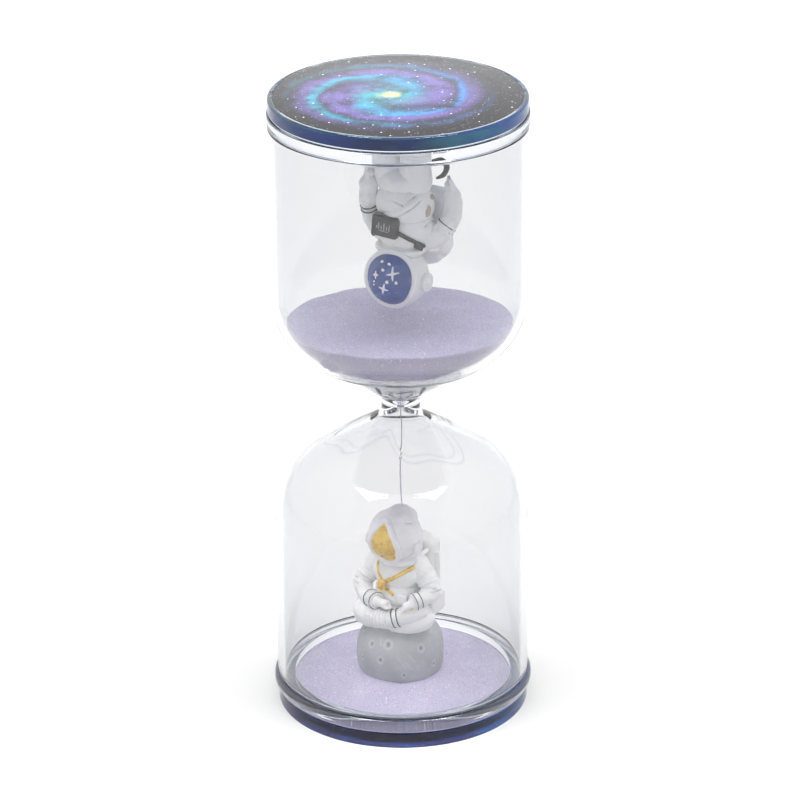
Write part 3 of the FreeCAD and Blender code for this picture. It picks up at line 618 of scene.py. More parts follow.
def lathe(name, corners, material, turns=TURNS):
    """A closed body turned about Z from an outline; points on the axis become poles."""
    bm = bmesh.new()
    rings = []
    for radius, height in stepped(outline_of(corners)):
        angles = [0.0] if radius < 1e-6 else [2 * math.pi * k / turns for k in range(turns)]
        rings.append([bm.verts.new((radius * math.cos(a), radius * math.sin(a), height)) for a in angles])
    for ring, following in zip(rings, rings[1:] + rings[:1]):
        join_rings(bm, ring, following)
    bmesh.ops.recalc_face_normals(bm, faces=bm.faces)
    return from_bmesh(name, bm, material)


def join_rings(bm, ring, following):
    """Faces between two rings of vertices, either of which may be a single pole."""
    count = max(len(ring), len(following))
    if count == 1:
        return
    for k in range(count):
        after = (k + 1) % count
        corners = [ring[k % len(ring)], ring[after % len(ring)],
                   following[after % len(following)], following[k % len(following)]]
        bm.faces.new(list(dict.fromkeys(corners)))


# ---------------------------------------------------------------- glass, discs, collars and bonds

def at_neck(side, distance):
    return NECK_LEVEL + side * distance


def glass_body():
    """The tube, drawn in at the middle, with fire-polished rims."""
    low, high = GLASS_LOW.z, GLASS_HIGH.z
    bore_round = SHOULDER_ROUND - WALL
    corners = [
        (BORE_RADIUS, low, RIM_ROUND), (TUBE_RADIUS, low, RIM_ROUND),
        (TUBE_RADIUS, at_neck(-1, SHOULDER_CORNER), SHOULDER_ROUND),
        (NECK_RADIUS, at_neck(-1, NECK_HALF), NECK_ROUND), (NECK_RADIUS, at_neck(1, NECK_HALF), NECK_ROUND),
        (TUBE_RADIUS, at_neck(1, SHOULDER_CORNER), SHOULDER_ROUND),
        (TUBE_RADIUS, high, RIM_ROUND), (BORE_RADIUS, high, RIM_ROUND),
        (BORE_RADIUS, at_neck(1, BORE_CORNER), bore_round),
        (THROAT_RADIUS, at_neck(1, THROAT_DEPTH), 3.0),
        (HOLE_RADIUS, at_neck(1, HOLE_HALF), 0.5), (HOLE_RADIUS, at_neck(-1, HOLE_HALF), 0.5),
        (THROAT_RADIUS, at_neck(-1, THROAT_DEPTH), 3.0),
        (BORE_RADIUS, at_neck(-1, BORE_CORNER), bore_round),
    ]
    piece = lathe("glass_body_blown", corners, GLASS)
    # Flame-worked shoulders are never quite even.
    for vertex in piece.data.vertices:
        distance = abs(vertex.co.z - NECK_LEVEL)
        if distance < 36:
            fade = min(1.0, (36 - distance) / 12)
            lift = noise.noise(Vector(vertex.co) * 0.07) * 0.22 * fade
            inward = Vector((vertex.co.x, vertex.co.y, 0)).normalized()
            vertex.co -= inward * max(0.0, lift)
    finish_piece(piece, Matrix(), "clear_glass", "glass_body")


def clear_ring(side):
    """Collar ring at one end."""
    low, high = box_mm(f"{side}_collar_ring")
    inner = RING_BORE[side]
    rounding = 2.2 if side == "lower" else 0.5
    corners = [
        (inner, low.z, 0.25), (high.x, low.z, rounding), (high.x, high.z, rounding), (inner, high.z, 0.25),
    ]
    piece = lathe(f"{side}_collar_bead", corners, COLLAR_ACRYLIC)
    finish_piece(piece, Matrix(), "collar_acrylic", f"{side}_collar_ring")


def clear_disc(side):
    """Disc whose film is let into the outer face; the ink stands a hair into the acrylic."""
    low, high = box_mm(f"{side}_disc")
    film_low, film_high = box_mm(f"{side}_galaxy_print")
    recess = film_high.x + 0.1
    if side == "upper":
        outer, floor, inner = high.z, film_low.z + 0.05, low.z
    else:
        outer, floor, inner = low.z, film_high.z - 0.05, high.z
    corners = [(0, floor, 0), (recess, floor, 0), (recess, outer, 0.08), (high.x, outer, 0.7),
               (high.x, inner, 0.7), (0, inner, 0)]
    piece = lathe(f"{side}_disc_polished", corners, DISC_ACRYLIC)
    finish_piece(piece, Matrix(), "disc_acrylic", f"{side}_disc")


# Adhesive wets both faces: it runs a hair into each, so that no air shows between them.
WETTED = 0.02


def bond_lines():
    for name in ("lower_disc_bond", "upper_disc_bond", "lower_tube_bond", "upper_tube_bond"):
        low, high = box_mm(name)
        inner = BORE_RADIUS if "tube" in name else RING_BORE[name.split("_")[0]]
        corners = [(inner, low.z - WETTED, 0), (high.x, low.z - WETTED, 0), (high.x, high.z + WETTED, 0),
                   (inner, high.z + WETTED, 0)]
        piece = lathe(f"{name}_line", corners, BOND)
        finish_piece(piece, Matrix(), "clear_adhesive", name)


def film(side, face_paint, ink):
    """Printed film in a disc's outer face: a glossy sheet over its matt ink."""
    low, high = box_mm(f"{side}_galaxy_print")
    outward = 1 if side == "upper" else -1
    outer, inner = (high.z, low.z) if side == "upper" else (low.z, high.z)
    sheet_back, ink_front = inner + outward * 0.12, inner + outward * 0.1
    sheet = [(0, sheet_back, 0), (high.x, sheet_back, 0), (high.x, outer, 0.05), (0, outer, 0)]
    back = [(0, inner, 0), (high.x, inner, 0), (high.x, ink_front, 0), (0, ink_front, 0)]
    face = lathe(f"{side}_film_face", sheet, face_paint)
    finish_piece(face, Matrix(), "galaxy_print", f"{side}_galaxy_print")
    finish_piece(lathe(f"{side}_film_ink", back, ink), Matrix(), "galaxy_print")


# ---------------------------------------------------------------- sand

def grain_tree():
    """Geometry Nodes: scatters small faceted grains over a surface, each with a tone of its own."""
    tree = bpy.data.node_groups.new("grain_scatter", "GeometryNodeTree")
    for name, kind, value in (("Geometry", "NodeSocketGeometry", None), ("Density", "NodeSocketFloat", 1.0),
                              ("Grain", "NodeSocketFloat", 0.4), ("Seed", "NodeSocketInt", 1),
                              ("Finish", "NodeSocketMaterial", None)):
        socket = tree.interface.new_socket(name, in_out="INPUT", socket_type=kind)
        if value is not None:
            socket.default_value = value
    tree.interface.new_socket("Geometry", in_out="OUTPUT", socket_type="NodeSocketGeometry")
    given = tree.nodes.new("NodeGroupInput").outputs
    result = tree.nodes.new("NodeGroupOutput").inputs
    normal = add_node(tree, "GeometryNodeInputNormal")
    up = add_node(tree, "ShaderNodeSeparateXYZ", {0: normal.outputs[0]})
    top = math_node(tree, "GREATER_THAN", up.outputs[2], 0.6)
    points = add_node(tree, "GeometryNodeDistributePointsOnFaces", {
        "Mesh": given["Geometry"], "Selection": top, "Density": given["Density"], "Seed": given["Seed"]})
    ball = add_node(tree, "GeometryNodeMeshIcoSphere", {"Radius": given["Grain"], "Subdivisions": 1})
    size = add_node(tree, "FunctionNodeRandomValue", {2: 0.35, 3: 0.62, "Seed": given["Seed"]})
    spin = add_node(tree, "FunctionNodeRandomValue", {
        0: (0, 0, 0), 1: (6.28, 6.28, 6.28), "Seed": given["Seed"]}, data_type="FLOAT_VECTOR")
    grains = add_node(tree, "GeometryNodeInstanceOnPoints", {
        "Points": points.outputs[0], "Instance": ball.outputs[0], "Rotation": spin.outputs[0],
        "Scale": size.outputs[1]})
    tone = add_node(tree, "FunctionNodeRandomValue", {2: 0.0, 3: 1.0, "Seed": given["Seed"]})
    toned = math_node(tree, "POWER", tone.outputs[1], 3.0)
    stored = add_node(tree, "GeometryNodeStoreNamedAttribute", {
        "Geometry": grains.outputs[0], "Name": "tone", "Value": toned}, domain="INSTANCE")
    both = tree.nodes.new("GeometryNodeJoinGeometry")
    tree.links.new(stored.outputs[0], both.inputs[0])
    tree.links.new(given["Geometry"], both.inputs[0])
    real = add_node(tree, "GeometryNodeRealizeInstances", {0: both.outputs[0]})
    finished = add_node(tree, "GeometryNodeSetMaterial", {0: real.outputs[0], "Material": given["Finish"]})
    tree.links.new(finished.outputs[0], result[0])
    return tree


def grow(piece, tree, **values):
    """Runs a Geometry Nodes tree on a piece and keeps the mesh it makes."""
    modifier = piece.modifiers.new(tree.name, "NODES")
    modifier.node_group = tree
    identifiers = {item.name: item.identifier for item in tree.interface.items_tree if item.in_out == "INPUT"}
    for name, value in values.items():
        modifier[identifiers[name]] = value
    return evaluated(piece)


GRAINS = grain_tree()


def bore_radius(height):
    """Inside radius of the glass in the upper bulb, at a height above the middle of the neck."""
    if height < HOLE_HALF:
        return HOLE_RADIUS
    if height < THROAT_DEPTH:
        return HOLE_RADIUS + (THROAT_RADIUS - HOLE_RADIUS) * (height - HOLE_HALF) / (THROAT_DEPTH - HOLE_HALF)
    rounding = SHOULDER_ROUND - WALL
    half = (math.pi - SHOULDER_ANGLE) / 2
    reach = rounding / math.tan(half)
    straight_end = BORE_CORNER - reach * math.cos(SHOULDER_ANGLE)
    if height < straight_end:
        return THROAT_RADIUS + (height - THROAT_DEPTH) * SHOULDER_SLOPE
    arc_end = BORE_CORNER + reach
    if height < arc_end:
        return BORE_RADIUS - rounding + math.sqrt(max(0.0, rounding ** 2 - (arc_end - height) ** 2))
    return BORE_RADIUS


def upper_sand():
    """Sand in the upper bulb, leaning a little, with the dip that the falling sand draws down."""
    level, lean = 28.0, math.tan(math.radians(3.5))
    gap = 0.12

    def top(x, y):
        radius = math.hypot(x, y)
        dip = 4.0 * max(0.0, 1 - radius / 17.0) ** 1.25
        swell = noise.noise(Vector((x, y, 3.0)) * 0.12) * 0.35
        ripple = noise.noise(Vector((x, y, 9.0)) * 0.9) * 0.10
        return level - y * lean - dip + (swell + ripple)

    bm = bmesh.new()
    turns, rings = 168, []
    edge = []
    for k in range(turns):
        angle = 2 * math.pi * k / turns
        radius = 34.0
        for _ in range(12):
            radius = bore_radius(top(radius * math.cos(angle), radius * math.sin(angle))) - gap
        edge.append(radius)
    rings.append([bm.verts.new((0, 0, NECK_LEVEL + top(0, 0)))])
    steps = 60
    for step in range(1, steps + 1):
        share = step / steps
        ring = []
        for k in range(turns):
            angle = 2 * math.pi * k / turns
            x, y = share * edge[k] * math.cos(angle), share * edge[k] * math.sin(angle)
            ring.append(bm.verts.new((x, y, NECK_LEVEL + top(x, y))))
        rings.append(ring)
    down = 28
    for step in range(1, down + 1):
        ring = []
        for k in range(turns):
            angle = 2 * math.pi * k / turns
            start = rings[steps][k].co.z - NECK_LEVEL
            height = start + (-HOLE_HALF - start) * step / down
            radius = max(0.6, bore_radius(height) - gap)
            x, y = radius * math.cos(angle), radius * math.sin(angle)
            ring.append(bm.verts.new((x, y, NECK_LEVEL + height)))
        rings.append(ring)
    rings.append([bm.verts.new((0, 0, NECK_LEVEL - HOLE_HALF))])
    for ring, following in zip(rings, rings[1:]):
        join_rings(bm, ring, following)
    bmesh.ops.recalc_face_normals(bm, faces=bm.faces)
    piece = from_bmesh("upper_sand_bed", bm, SAND)
    grow(piece, GRAINS, Density=1.05, Grain=0.42, Seed=3, Finish=SAND)
    finish_piece(piece, Matrix(), "lilac_sand", "upper_sand", sharp=None)


def lower_sand():
    """Sand on the lower disc, level at the wall and heaped round the moon."""
    radius_out = RING_BORE["lower"] - 0.12
    rim, heap = 2.2, 4.9
    centre = Vector(FIGURE_PLACE)

    def top(x, y):
        away = (Vector((x, y)) - centre).length
        rise = (heap - rim) * max(0.0, min(1.0, (25 - away) / 11)) ** 1.6
        swell = noise.noise(Vector((x, y, 5.0)) * 0.10) * 0.35
        ripple = noise.noise(Vector((x, y, 1.0)) * 0.8) * 0.10
        return DISC_TOP + rim + rise + (swell + ripple)

    bm = bmesh.new()
    turns, steps = 168, 60
    rings = [[bm.verts.new((0, 0, top(0, 0)))]]
    for step in range(1, steps + 1):
        radius = radius_out * step / steps
        ring = []
        for k in range(turns):
            x, y = radius * math.cos(2 * math.pi * k / turns), radius * math.sin(2 * math.pi * k / turns)
            ring.append(bm.verts.new((x, y, top(x, y))))
        rings.append(ring)
    foot = DISC_TOP + 0.02
    rings.append([bm.verts.new((vertex.co.x, vertex.co.y, foot)) for vertex in rings[-1]])
    rings.append([bm.verts.new((0, 0, foot))])
    for ring, following in zip(rings, rings[1:]):
        join_rings(bm, ring, following)
    bmesh.ops.recalc_face_normals(bm, faces=bm.faces)
    piece = from_bmesh("lower_sand_bed", bm, SAND)
    grow(piece, GRAINS, Density=1.05, Grain=0.42, Seed=8, Finish=SAND)
    finish_piece(piece, Matrix(), "lilac_sand", "lower_sand", sharp=None)


def falling_sand():
    """The stream: a thin thread of grains that wanders a little on its way down."""
    low, high = box_mm("falling_sand")
    draw = random.Random(5)
    bm = bmesh.new()
    length = high.z - low.z
    count = 620
    for number in range(count):
        fall = (number + draw.random()) / count
        height = high.z - fall * length
        wander = math.sin(fall * 7.0) * 0.35 * min(1, fall * 3)
        loose = 0.05 + 0.10 * fall
        place = Vector((wander + draw.gauss(0, loose) * 0.6, draw.gauss(0, loose) * 0.6, height))
        turn = Matrix.Rotation(draw.random() * 6.3, 4, Vector((draw.random(), draw.random(), 1)))
        size = draw.uniform(0.10, 0.17)
        bmesh.ops.create_icosphere(bm, subdivisions=1, radius=size, matrix=Matrix.Translation(place) @ turn)
    piece = from_bmesh("falling_sand_grains", bm, LIT_STREAM_SAND)
    finish_piece(piece, Matrix(), "lilac_sand", "falling_sand", sharp=None)


# ---------------------------------------------------------------- moon

# Each crater: its bearing from the front (degrees, turning to the right), its height, its rim's half width
# and its depth. The two shares say how much of the width and depth is pressed in.
PIT_WIDTH = 0.62
PIT_DEPTH = 0.6
CRATERS = [
    (-44, 16.5, 1.5, 0.55), (-18, 17.3, 1.9, 0.7), (30, 15.8, 1.5, 0.6), (-27, 12.2, 1.5, 0.55),
    (-58, 11.0, 1.0, 0.4), (4, 7.6, 1.1, 0.4), (58, 20.0, 1.6, 0.6), (76, 12.5, 1.8, 0.6),
    (-78, 19.0, 1.6, 0.6),
    (110, 18.0, 1.9, 0.7), (135, 12.0, 1.4, 0.5), (160, 19.5, 1.7, 0.6), (-110, 14.0, 1.8, 0.7),
    (-140, 19.5, 1.4, 0.5), (-165, 12.5, 1.9, 0.7), (48, 9.5, 1.2, 0.5), (-96, 8.5, 1.2, 0.4),
    (95, 23.0, 1.3, 0.5),
]


def moon_point(bearing, height, level, radius, crown):
    """The point of the plain moon at a bearing and a height above the disc."""
    ring = radius * math.sqrt(max(0.0, 1 - ((height - level) / crown) ** 2))
    angle = math.radians(bearing - 90)
    return Vector((ring * math.cos(angle), ring * math.sin(angle), height))


def moon():
    """The moon that the seated figure is cast on: a bun of resin pitted with craters."""
    radius, crown, level = 14.1, 15.2, 10.0
    middle = Vector((*FIGURE_PLACE, DISC_TOP))
    bm = bmesh.new()
    turns, steps = 260, 150
    rings = [[bm.verts.new((0, 0, 0))]]
    bottom = -math.asin(level / crown)
    for step in range(steps):
        tilt = bottom + (math.pi / 2 - bottom) * step / steps
        ring_radius = radius * math.cos(tilt)
        height = level + crown * math.sin(tilt)
        rings.append([bm.verts.new((ring_radius * math.cos(2 * math.pi * k / turns),
                                    ring_radius * math.sin(2 * math.pi * k / turns), height))
                      for k in range(turns)])
    rings.append([bm.verts.new((0, 0, level + crown))])
    for ring, following in zip(rings, rings[1:]):
        join_rings(bm, ring, following)
    bmesh.ops.recalc_face_normals(bm, faces=bm.faces)
    bm.normal_update()
    pale = {}
    deep = {}
    craters = [(moon_point(bearing, height, level, radius, crown), width * PIT_WIDTH, depth * PIT_DEPTH)
               for bearing, height, width, depth in CRATERS]
    scratches = [
        ((6, 12.5), (16, 9.5)), ((-4, 14.0), (6, 10.2)), ((10, 14.5), (20, 12.0)), ((-33, 19.5), (-29, 17.0)),
    ]
    lines = [[moon_point(b, h, level, radius, crown) for b, h in ends] for ends in scratches]
    for vertex in bm.verts:
        place, out = vertex.co.copy(), vertex.normal.copy()
        lift = noise.noise(place * 0.16) * 0.35 + noise.noise(place * 0.9) * 0.05
        pale_here, deep_here = 0.0, 0.0
        for centre, width, depth in craters:
            away = (place - centre)
            away.z *= 0.8
            distance = away.length / width
            if distance < 2.2:
                lift -= depth * math.exp(-(distance / 0.62) ** 2)
                # pale here is a painted highlight on the rim; deep is painted shade in the pit.
                rim = math.exp(-((distance - 1.05) / 0.28) ** 2)
                lift += 0.12 * rim
                pale_here = max(pale_here, rim * 0.5)
                deep_here = max(deep_here, math.exp(-(distance / 0.42) ** 2) * 0.6)
        for start, end in lines:
            along = max(0.0, min(1.0, (place - start).dot(end - start) / (end - start).length_squared))
            distance = (place - start.lerp(end, along)).length
            pale_here = max(pale_here, 0.6 * math.exp(-(distance / 0.16) ** 2))
            lift -= 0.05 * math.exp(-(distance / 0.2) ** 2)
        if place.z > 0.2:
            vertex.co = place + out * lift
        pale[vertex.index], deep[vertex.index] = pale_here, deep_here
    bm.verts.index_update()
    marks = [(pale.get(v.index, 0.0), deep.get(v.index, 0.0)) for v in bm.verts]
    piece = from_bmesh("cratered_moon", bm, MOON)
    for name, column in (("pale", 0), ("deep", 1)):
        layer = piece.data.attributes.new(name, "FLOAT", "POINT")
        layer.data.foreach_set("value", [mark[column] for mark in marks])
    finish_piece(piece, Matrix.Translation(middle), "moon_resin", "moon_base", sharp=None)


# ---------------------------------------------------------------- cast figures: lumps of clay under one skin

class Clay:
    """Closed lumps, pressed under one voxel skin into a single cast form."""

    def __init__(self):
        self.bm = bmesh.new()

    def ball(self, place, widths, turn=(0, 0, 0)):
        """An egg by its three whole widths; turn is in degrees."""
        matrix = self.set_down(place, turn) @ Matrix.Diagonal((*(width / 2 for width in widths), 1))
        bmesh.ops.create_icosphere(self.bm, subdivisions=4, radius=1, matrix=matrix)
        return self

    def slab(self, place, widths, rounding, turn=(0, 0, 0)):
        """A block with rounded edges."""
        matrix = self.set_down(place, turn) @ Matrix.Diagonal((*widths, 1))
        made = bmesh.ops.create_cube(self.bm, size=1, matrix=matrix)
        edges = list({edge for vertex in made["verts"] for edge in vertex.link_edges})
        bmesh.ops.bevel(self.bm, geom=edges, offset=rounding, segments=4, profile=0.5, affect="EDGES")
        return self

    def limb(self, places, radii, closed=False):
        """A round length along a smooth path, with round ends, or a closed hoop."""
        sweep(self.bm, places, radii, closed)
        return self

    def ribs(self, places, radius, thickness, count):
        """Rings set along a path, as on a bellows."""
        piece = new_piece("rib_path", path_mesh(places), SUIT)
        grow(piece, RIBS, Rings=count, Radius=radius, Thickness=thickness, Finish=SUIT)
        self.bm.from_mesh(piece.data)
        bpy.data.objects.remove(piece)
        return self

    def skin(self, name, material, voxel=0.24, smoothing=4):
        piece = from_bmesh(name, self.bm, material)
        wrap = piece.modifiers.new("skin", "REMESH")
        wrap.mode = "VOXEL"
        wrap.voxel_size = voxel
        smooth = piece.modifiers.new("thumbed", "SMOOTH")
        smooth.iterations = smoothing
        smooth.factor = 0.5
        evaluated(piece)
        piece.data.materials.clear()
        piece.data.materials.append(material)
        return piece

    @staticmethod
    def set_down(place, turn):
        angles = tuple(math.radians(angle) for angle in turn)
        return Matrix.LocRotScale(Vector(place), Euler(angles), None)


def path_mesh(places, steps=40):
    """An open line of edges along a smooth path."""
    points = [tuple(point) for point, _ in smooth_path(places, [1] * len(places), steps)]
    mesh = bpy.data.meshes.new("path")
    mesh.from_pydata(points, [(k, k + 1) for k in range(len(points) - 1)], [])
    return mesh


def smooth_path(places, radii, steps, closed=False):
    """Points and radii along a Catmull-Rom curve through the given places."""
    count = len(places)
    spans = count if closed else count - 1
    found = []
    for span in range(spans):
        if closed:
            numbers = [(span + k - 1) % count for k in range(4)]
        else:
            numbers = [max(0, min(count - 1, span + k - 1)) for k in range(4)]
        a, b, c, d = (Vector(places[number]) for number in numbers)
        begin, end = radii[numbers[1]], radii[numbers[2]]
        each = max(2, steps // spans)
        for step in range(each):
            t = step / each
            point = 0.5 * (2 * b + (c - a) * t + (2 * a - 5 * b + 4 * c - d) * t * t
                           + (3 * b - a - 3 * c + d) * t ** 3)
            found.append((point, begin + (end - begin) * (t * t * (3 - 2 * t))))
    if not closed:
        found.append((Vector(places[-1]), radii[-1]))
    return found


def sweep(bm, places, radii, closed=False, sides=20, steps=48):
    """A round tube along a smooth path."""
    line = smooth_path(places, radii, steps, closed)
    count = len(line)
    tangents = []
    for number in range(count):
        ahead = line[(number + 1) % count if closed else min(count - 1, number + 1)][0]
        behind = line[(number - 1) % count if closed else max(0, number - 1)][0]
        tangents.append((ahead - behind).normalized())
    side = tangents[0].orthogonal().normalized()
    rings = []
    profile = [(point, tangent, radius, 0.0) for (point, radius), tangent in zip(line, tangents)]
    if not closed:
        profile = round_end(profile[0], -1)[::-1] + profile + round_end(profile[-1], 1)
    for point, tangent, radius, shift in profile:
        side = (side - tangent * side.dot(tangent)).normalized()
        other = tangent.cross(side)
        centre = point + tangent * shift
        ring = []
        for k in range(sides):
            angle = 2 * math.pi * k / sides
            offset = side * math.cos(angle) * radius + other * math.sin(angle) * radius
            ring.append(bm.verts.new(centre + offset))
        rings.append(ring)
    for ring, following in zip(rings, rings[1:]):
        join_rings(bm, ring, following)
    if closed:
        join_closing(bm, rings[-1], rings[0])
    else:
        bm.faces.new(rings[0][::-1])
        bm.faces.new(rings[-1])


def round_end(last, direction, steps=5):
    """More rings that round off one end of a tube."""
    point, tangent, radius, _ = last
    angles = [math.pi / 2 * step / (steps + 0.4) for step in range(1, steps + 1)]
    return [(point, tangent, radius * math.cos(angle), direction * radius * math.sin(angle))
            for angle in angles]


def join_closing(bm, ring, first):
    """Joins the last ring of a hoop to its first, matching the nearest vertices."""
    count = len(ring)
    start = min(range(count), key=lambda k: (first[k].co - ring[0].co).length)
    join_rings(bm, ring, [first[(start + k) % count] for k in range(count)])


def rib_tree():
    """Geometry Nodes: rings set square to a path."""
    tree = bpy.data.node_groups.new("ribs_on_path", "GeometryNodeTree")
    for name, kind, value in (("Geometry", "NodeSocketGeometry", None), ("Rings", "NodeSocketInt", 6),
                              ("Radius", "NodeSocketFloat", 3.0), ("Thickness", "NodeSocketFloat", 0.4),
                              ("Finish", "NodeSocketMaterial", None)):
        socket = tree.interface.new_socket(name, in_out="INPUT", socket_type=kind)
        if value is not None:
            socket.default_value = value
    tree.interface.new_socket("Geometry", in_out="OUTPUT", socket_type="NodeSocketGeometry")
    given = tree.nodes.new("NodeGroupInput").outputs
    result = tree.nodes.new("NodeGroupOutput").inputs
    path = add_node(tree, "GeometryNodeMeshToCurve", {0: given["Geometry"]})
    even = add_node(tree, "GeometryNodeResampleCurve", {"Curve": path.outputs[0], "Count": given["Rings"]})
    hoop = add_node(tree, "GeometryNodeCurvePrimitiveCircle", {"Resolution": 28, "Radius": given["Radius"]})
    section = add_node(tree, "GeometryNodeCurvePrimitiveCircle", {
        "Resolution": 8, "Radius": given["Thickness"]})
    ring = add_node(tree, "GeometryNodeCurveToMesh", {0: hoop.outputs[0], 1: section.outputs[0]})
    along = add_node(tree, "GeometryNodeInputTangent")
    square = add_node(tree, "FunctionNodeAlignRotationToVector", {"Vector": along.outputs[0]}, axis="Z")
    placed = add_node(tree, "GeometryNodeInstanceOnPoints", {
        "Points": even.outputs[0], "Instance": ring.outputs[0], "Rotation": square.outputs[0]})
    real = add_node(tree, "GeometryNodeRealizeInstances", {0: placed.outputs[0]})
    finished = add_node(tree, "GeometryNodeSetMaterial", {0: real.outputs[0], "Material": given["Finish"]})
    tree.links.new(finished.outputs[0], result[0])
    return tree


RIBS = rib_tree()


def coordinates(mesh):
    """The mesh's points and normals as arrays."""
    points = np.empty(len(mesh.vertices) * 3)
    mesh.vertices.foreach_get("co", points)
    normals = np.empty(len(mesh.vertices) * 3)
    mesh.vertices.foreach_get("normal", normals)
    return points.reshape(-1, 3), normals.reshape(-1, 3)


def move_points(piece, points):
    piece.data.vertices.foreach_set("co", points.ravel())
    piece.data.update()
    return piece


def line_distance(points, path):
    """How far each point is from a smooth path."""
    line = np.array([tuple(point) for point, _ in smooth_path(path, [1] * len(path), 36)])
    nearest = np.full(len(points), 1e9)
    for start, end in zip(line, line[1:]):
        along = end - start
        share = np.clip(((points - start) @ along) / max(1e-9, along @ along), 0, 1)
        nearest = np.minimum(nearest, np.linalg.norm(points - start - share[:, None] * along, axis=1))
    return nearest


def press(piece, paths, width, depth):
    """Presses grooves along paths into a form, or raises piping where depth is negative."""
    points, normals = coordinates(piece.data)
    for path in paths:
        points -= normals * (depth * np.exp(-(line_distance(points, path) / width) ** 2))[:, None]
    return move_points(piece, points)


def rumple(piece, size, depth, seed):
    """Soft folds over the whole of a form."""
    points, normals = coordinates(piece.data)
    places = [Vector(point) / size + Vector((seed, seed * 2.3, 0)) for point in points]
    folds = np.array([noise.noise(place) + 0.5 * noise.noise(place * 2.1) for place in places])
    return move_points(piece, points + normals * folds[:, None] * depth)


def surface_of(*pieces):
    """Something to lay straps and marks on."""
    bm = bmesh.new()
    for piece in pieces:
        bm.from_mesh(piece.data)
    tree = BVHTree.FromBMesh(bm)
    bm.free()
    return tree


def ribbon(name, material, surface, path, width, thickness, lift=0.0):
    """A flat strap laid on a surface along a path, with rounded edges."""
    bm = bmesh.new()
    line = smooth_path(path, [1] * len(path), 60)
    laid = []
    for point, _ in line:
        place, normal, _, _ = surface.find_nearest(point)
        laid.append((place + normal * lift, normal))
    rings = []
    for number, (place, normal) in enumerate(laid):
        ahead, behind = laid[min(len(laid) - 1, number + 1)][0], laid[max(0, number - 1)][0]
        tangent = (ahead - behind).normalized()
        across = tangent.cross(normal).normalized()
        rings.append([bm.verts.new(place + across * math.cos(angle) * width / 2
                                   + normal * (math.sin(angle) * thickness / 2 + thickness * 0.2))
                      for angle in (2 * math.pi * k / 12 for k in range(12))])
    for ring, following in zip(rings, rings[1:]):
        join_rings(bm, ring, following)
    bm.faces.new(rings[0][::-1])
    bm.faces.new(rings[-1])
    bmesh.ops.recalc_face_normals(bm, faces=bm.faces)
    return from_bmesh(name, bm, material)


def joined(name, pieces):
    """Several made pieces as one object; each keeps its own material."""
    bm = bmesh.new()
    materials = []
    for piece in pieces:
        start = len(bm.faces)
        bm.from_mesh(piece.data)
        bm.faces.ensure_lookup_table()
        slots = []
        for material in piece.data.materials:
            if material not in materials:
                materials.append(material)
            slots.append(materials.index(material))
        for face in bm.faces[start:]:
            face.material_index = slots[min(face.material_index, len(slots) - 1)]
        bpy.data.objects.remove(piece)
    whole = from_bmesh(name, bm, materials[0])
    for material in materials[1:]:
        whole.data.materials.append(material)
    return whole


def glove(clay, palm, point_to, size, hand):
    """A mitten-like glove: a palm, four short fingers and a thumb, reaching from palm towards a point."""
    palm, reach = Vector(palm), (Vector(point_to) - Vector(palm))
    forward = reach.normalized()
    across = forward.cross(Vector((0, 0, 1))).normalized()
    up = across.cross(forward)
    clay.limb([palm - forward * size * 0.3, palm + forward * size * 0.5], [size * 0.62, size * 0.6])
    for number in range(4):
        start = palm + forward * size * 0.55 + across * (number - 1.5) * size * 0.34
        end = start + forward * size * (0.85 if number in (1, 2) else 0.65) - up * size * 0.28
        clay.limb([start, end], [size * 0.24, size * 0.19])
    start = palm + across * hand * size * 0.55
    clay.limb([start, start + forward * size * 0.7 + across * hand * size * 0.22 + up * size * 0.1],
              [size * 0.25, size * 0.19])


# ---------------------------------------------------------------- the seated astronaut

HOOD_MIDDLE = Vector((0, -2.7, 51.5))
HOOD_ROUND = 8.6


def teardrop(share, width, height, middle):
    """A point of the teardrop round the seated figure's visor; share runs 0 to 1 from its tip."""
    angle = 2 * math.pi * share
    across = width * math.sin(angle) * abs(math.sin(angle / 2)) ** 0.75
    return across, middle + height * math.cos(angle)


def on_hood(across, height, proud=0.0):
    """A point on the round of the hood's front."""
    middle = HOOD_MIDDLE
    inside = max(1.0, (HOOD_ROUND + proud) ** 2 - across ** 2 - (height - middle.z) ** 2)
    return Vector((across, middle.y - math.sqrt(inside), height))


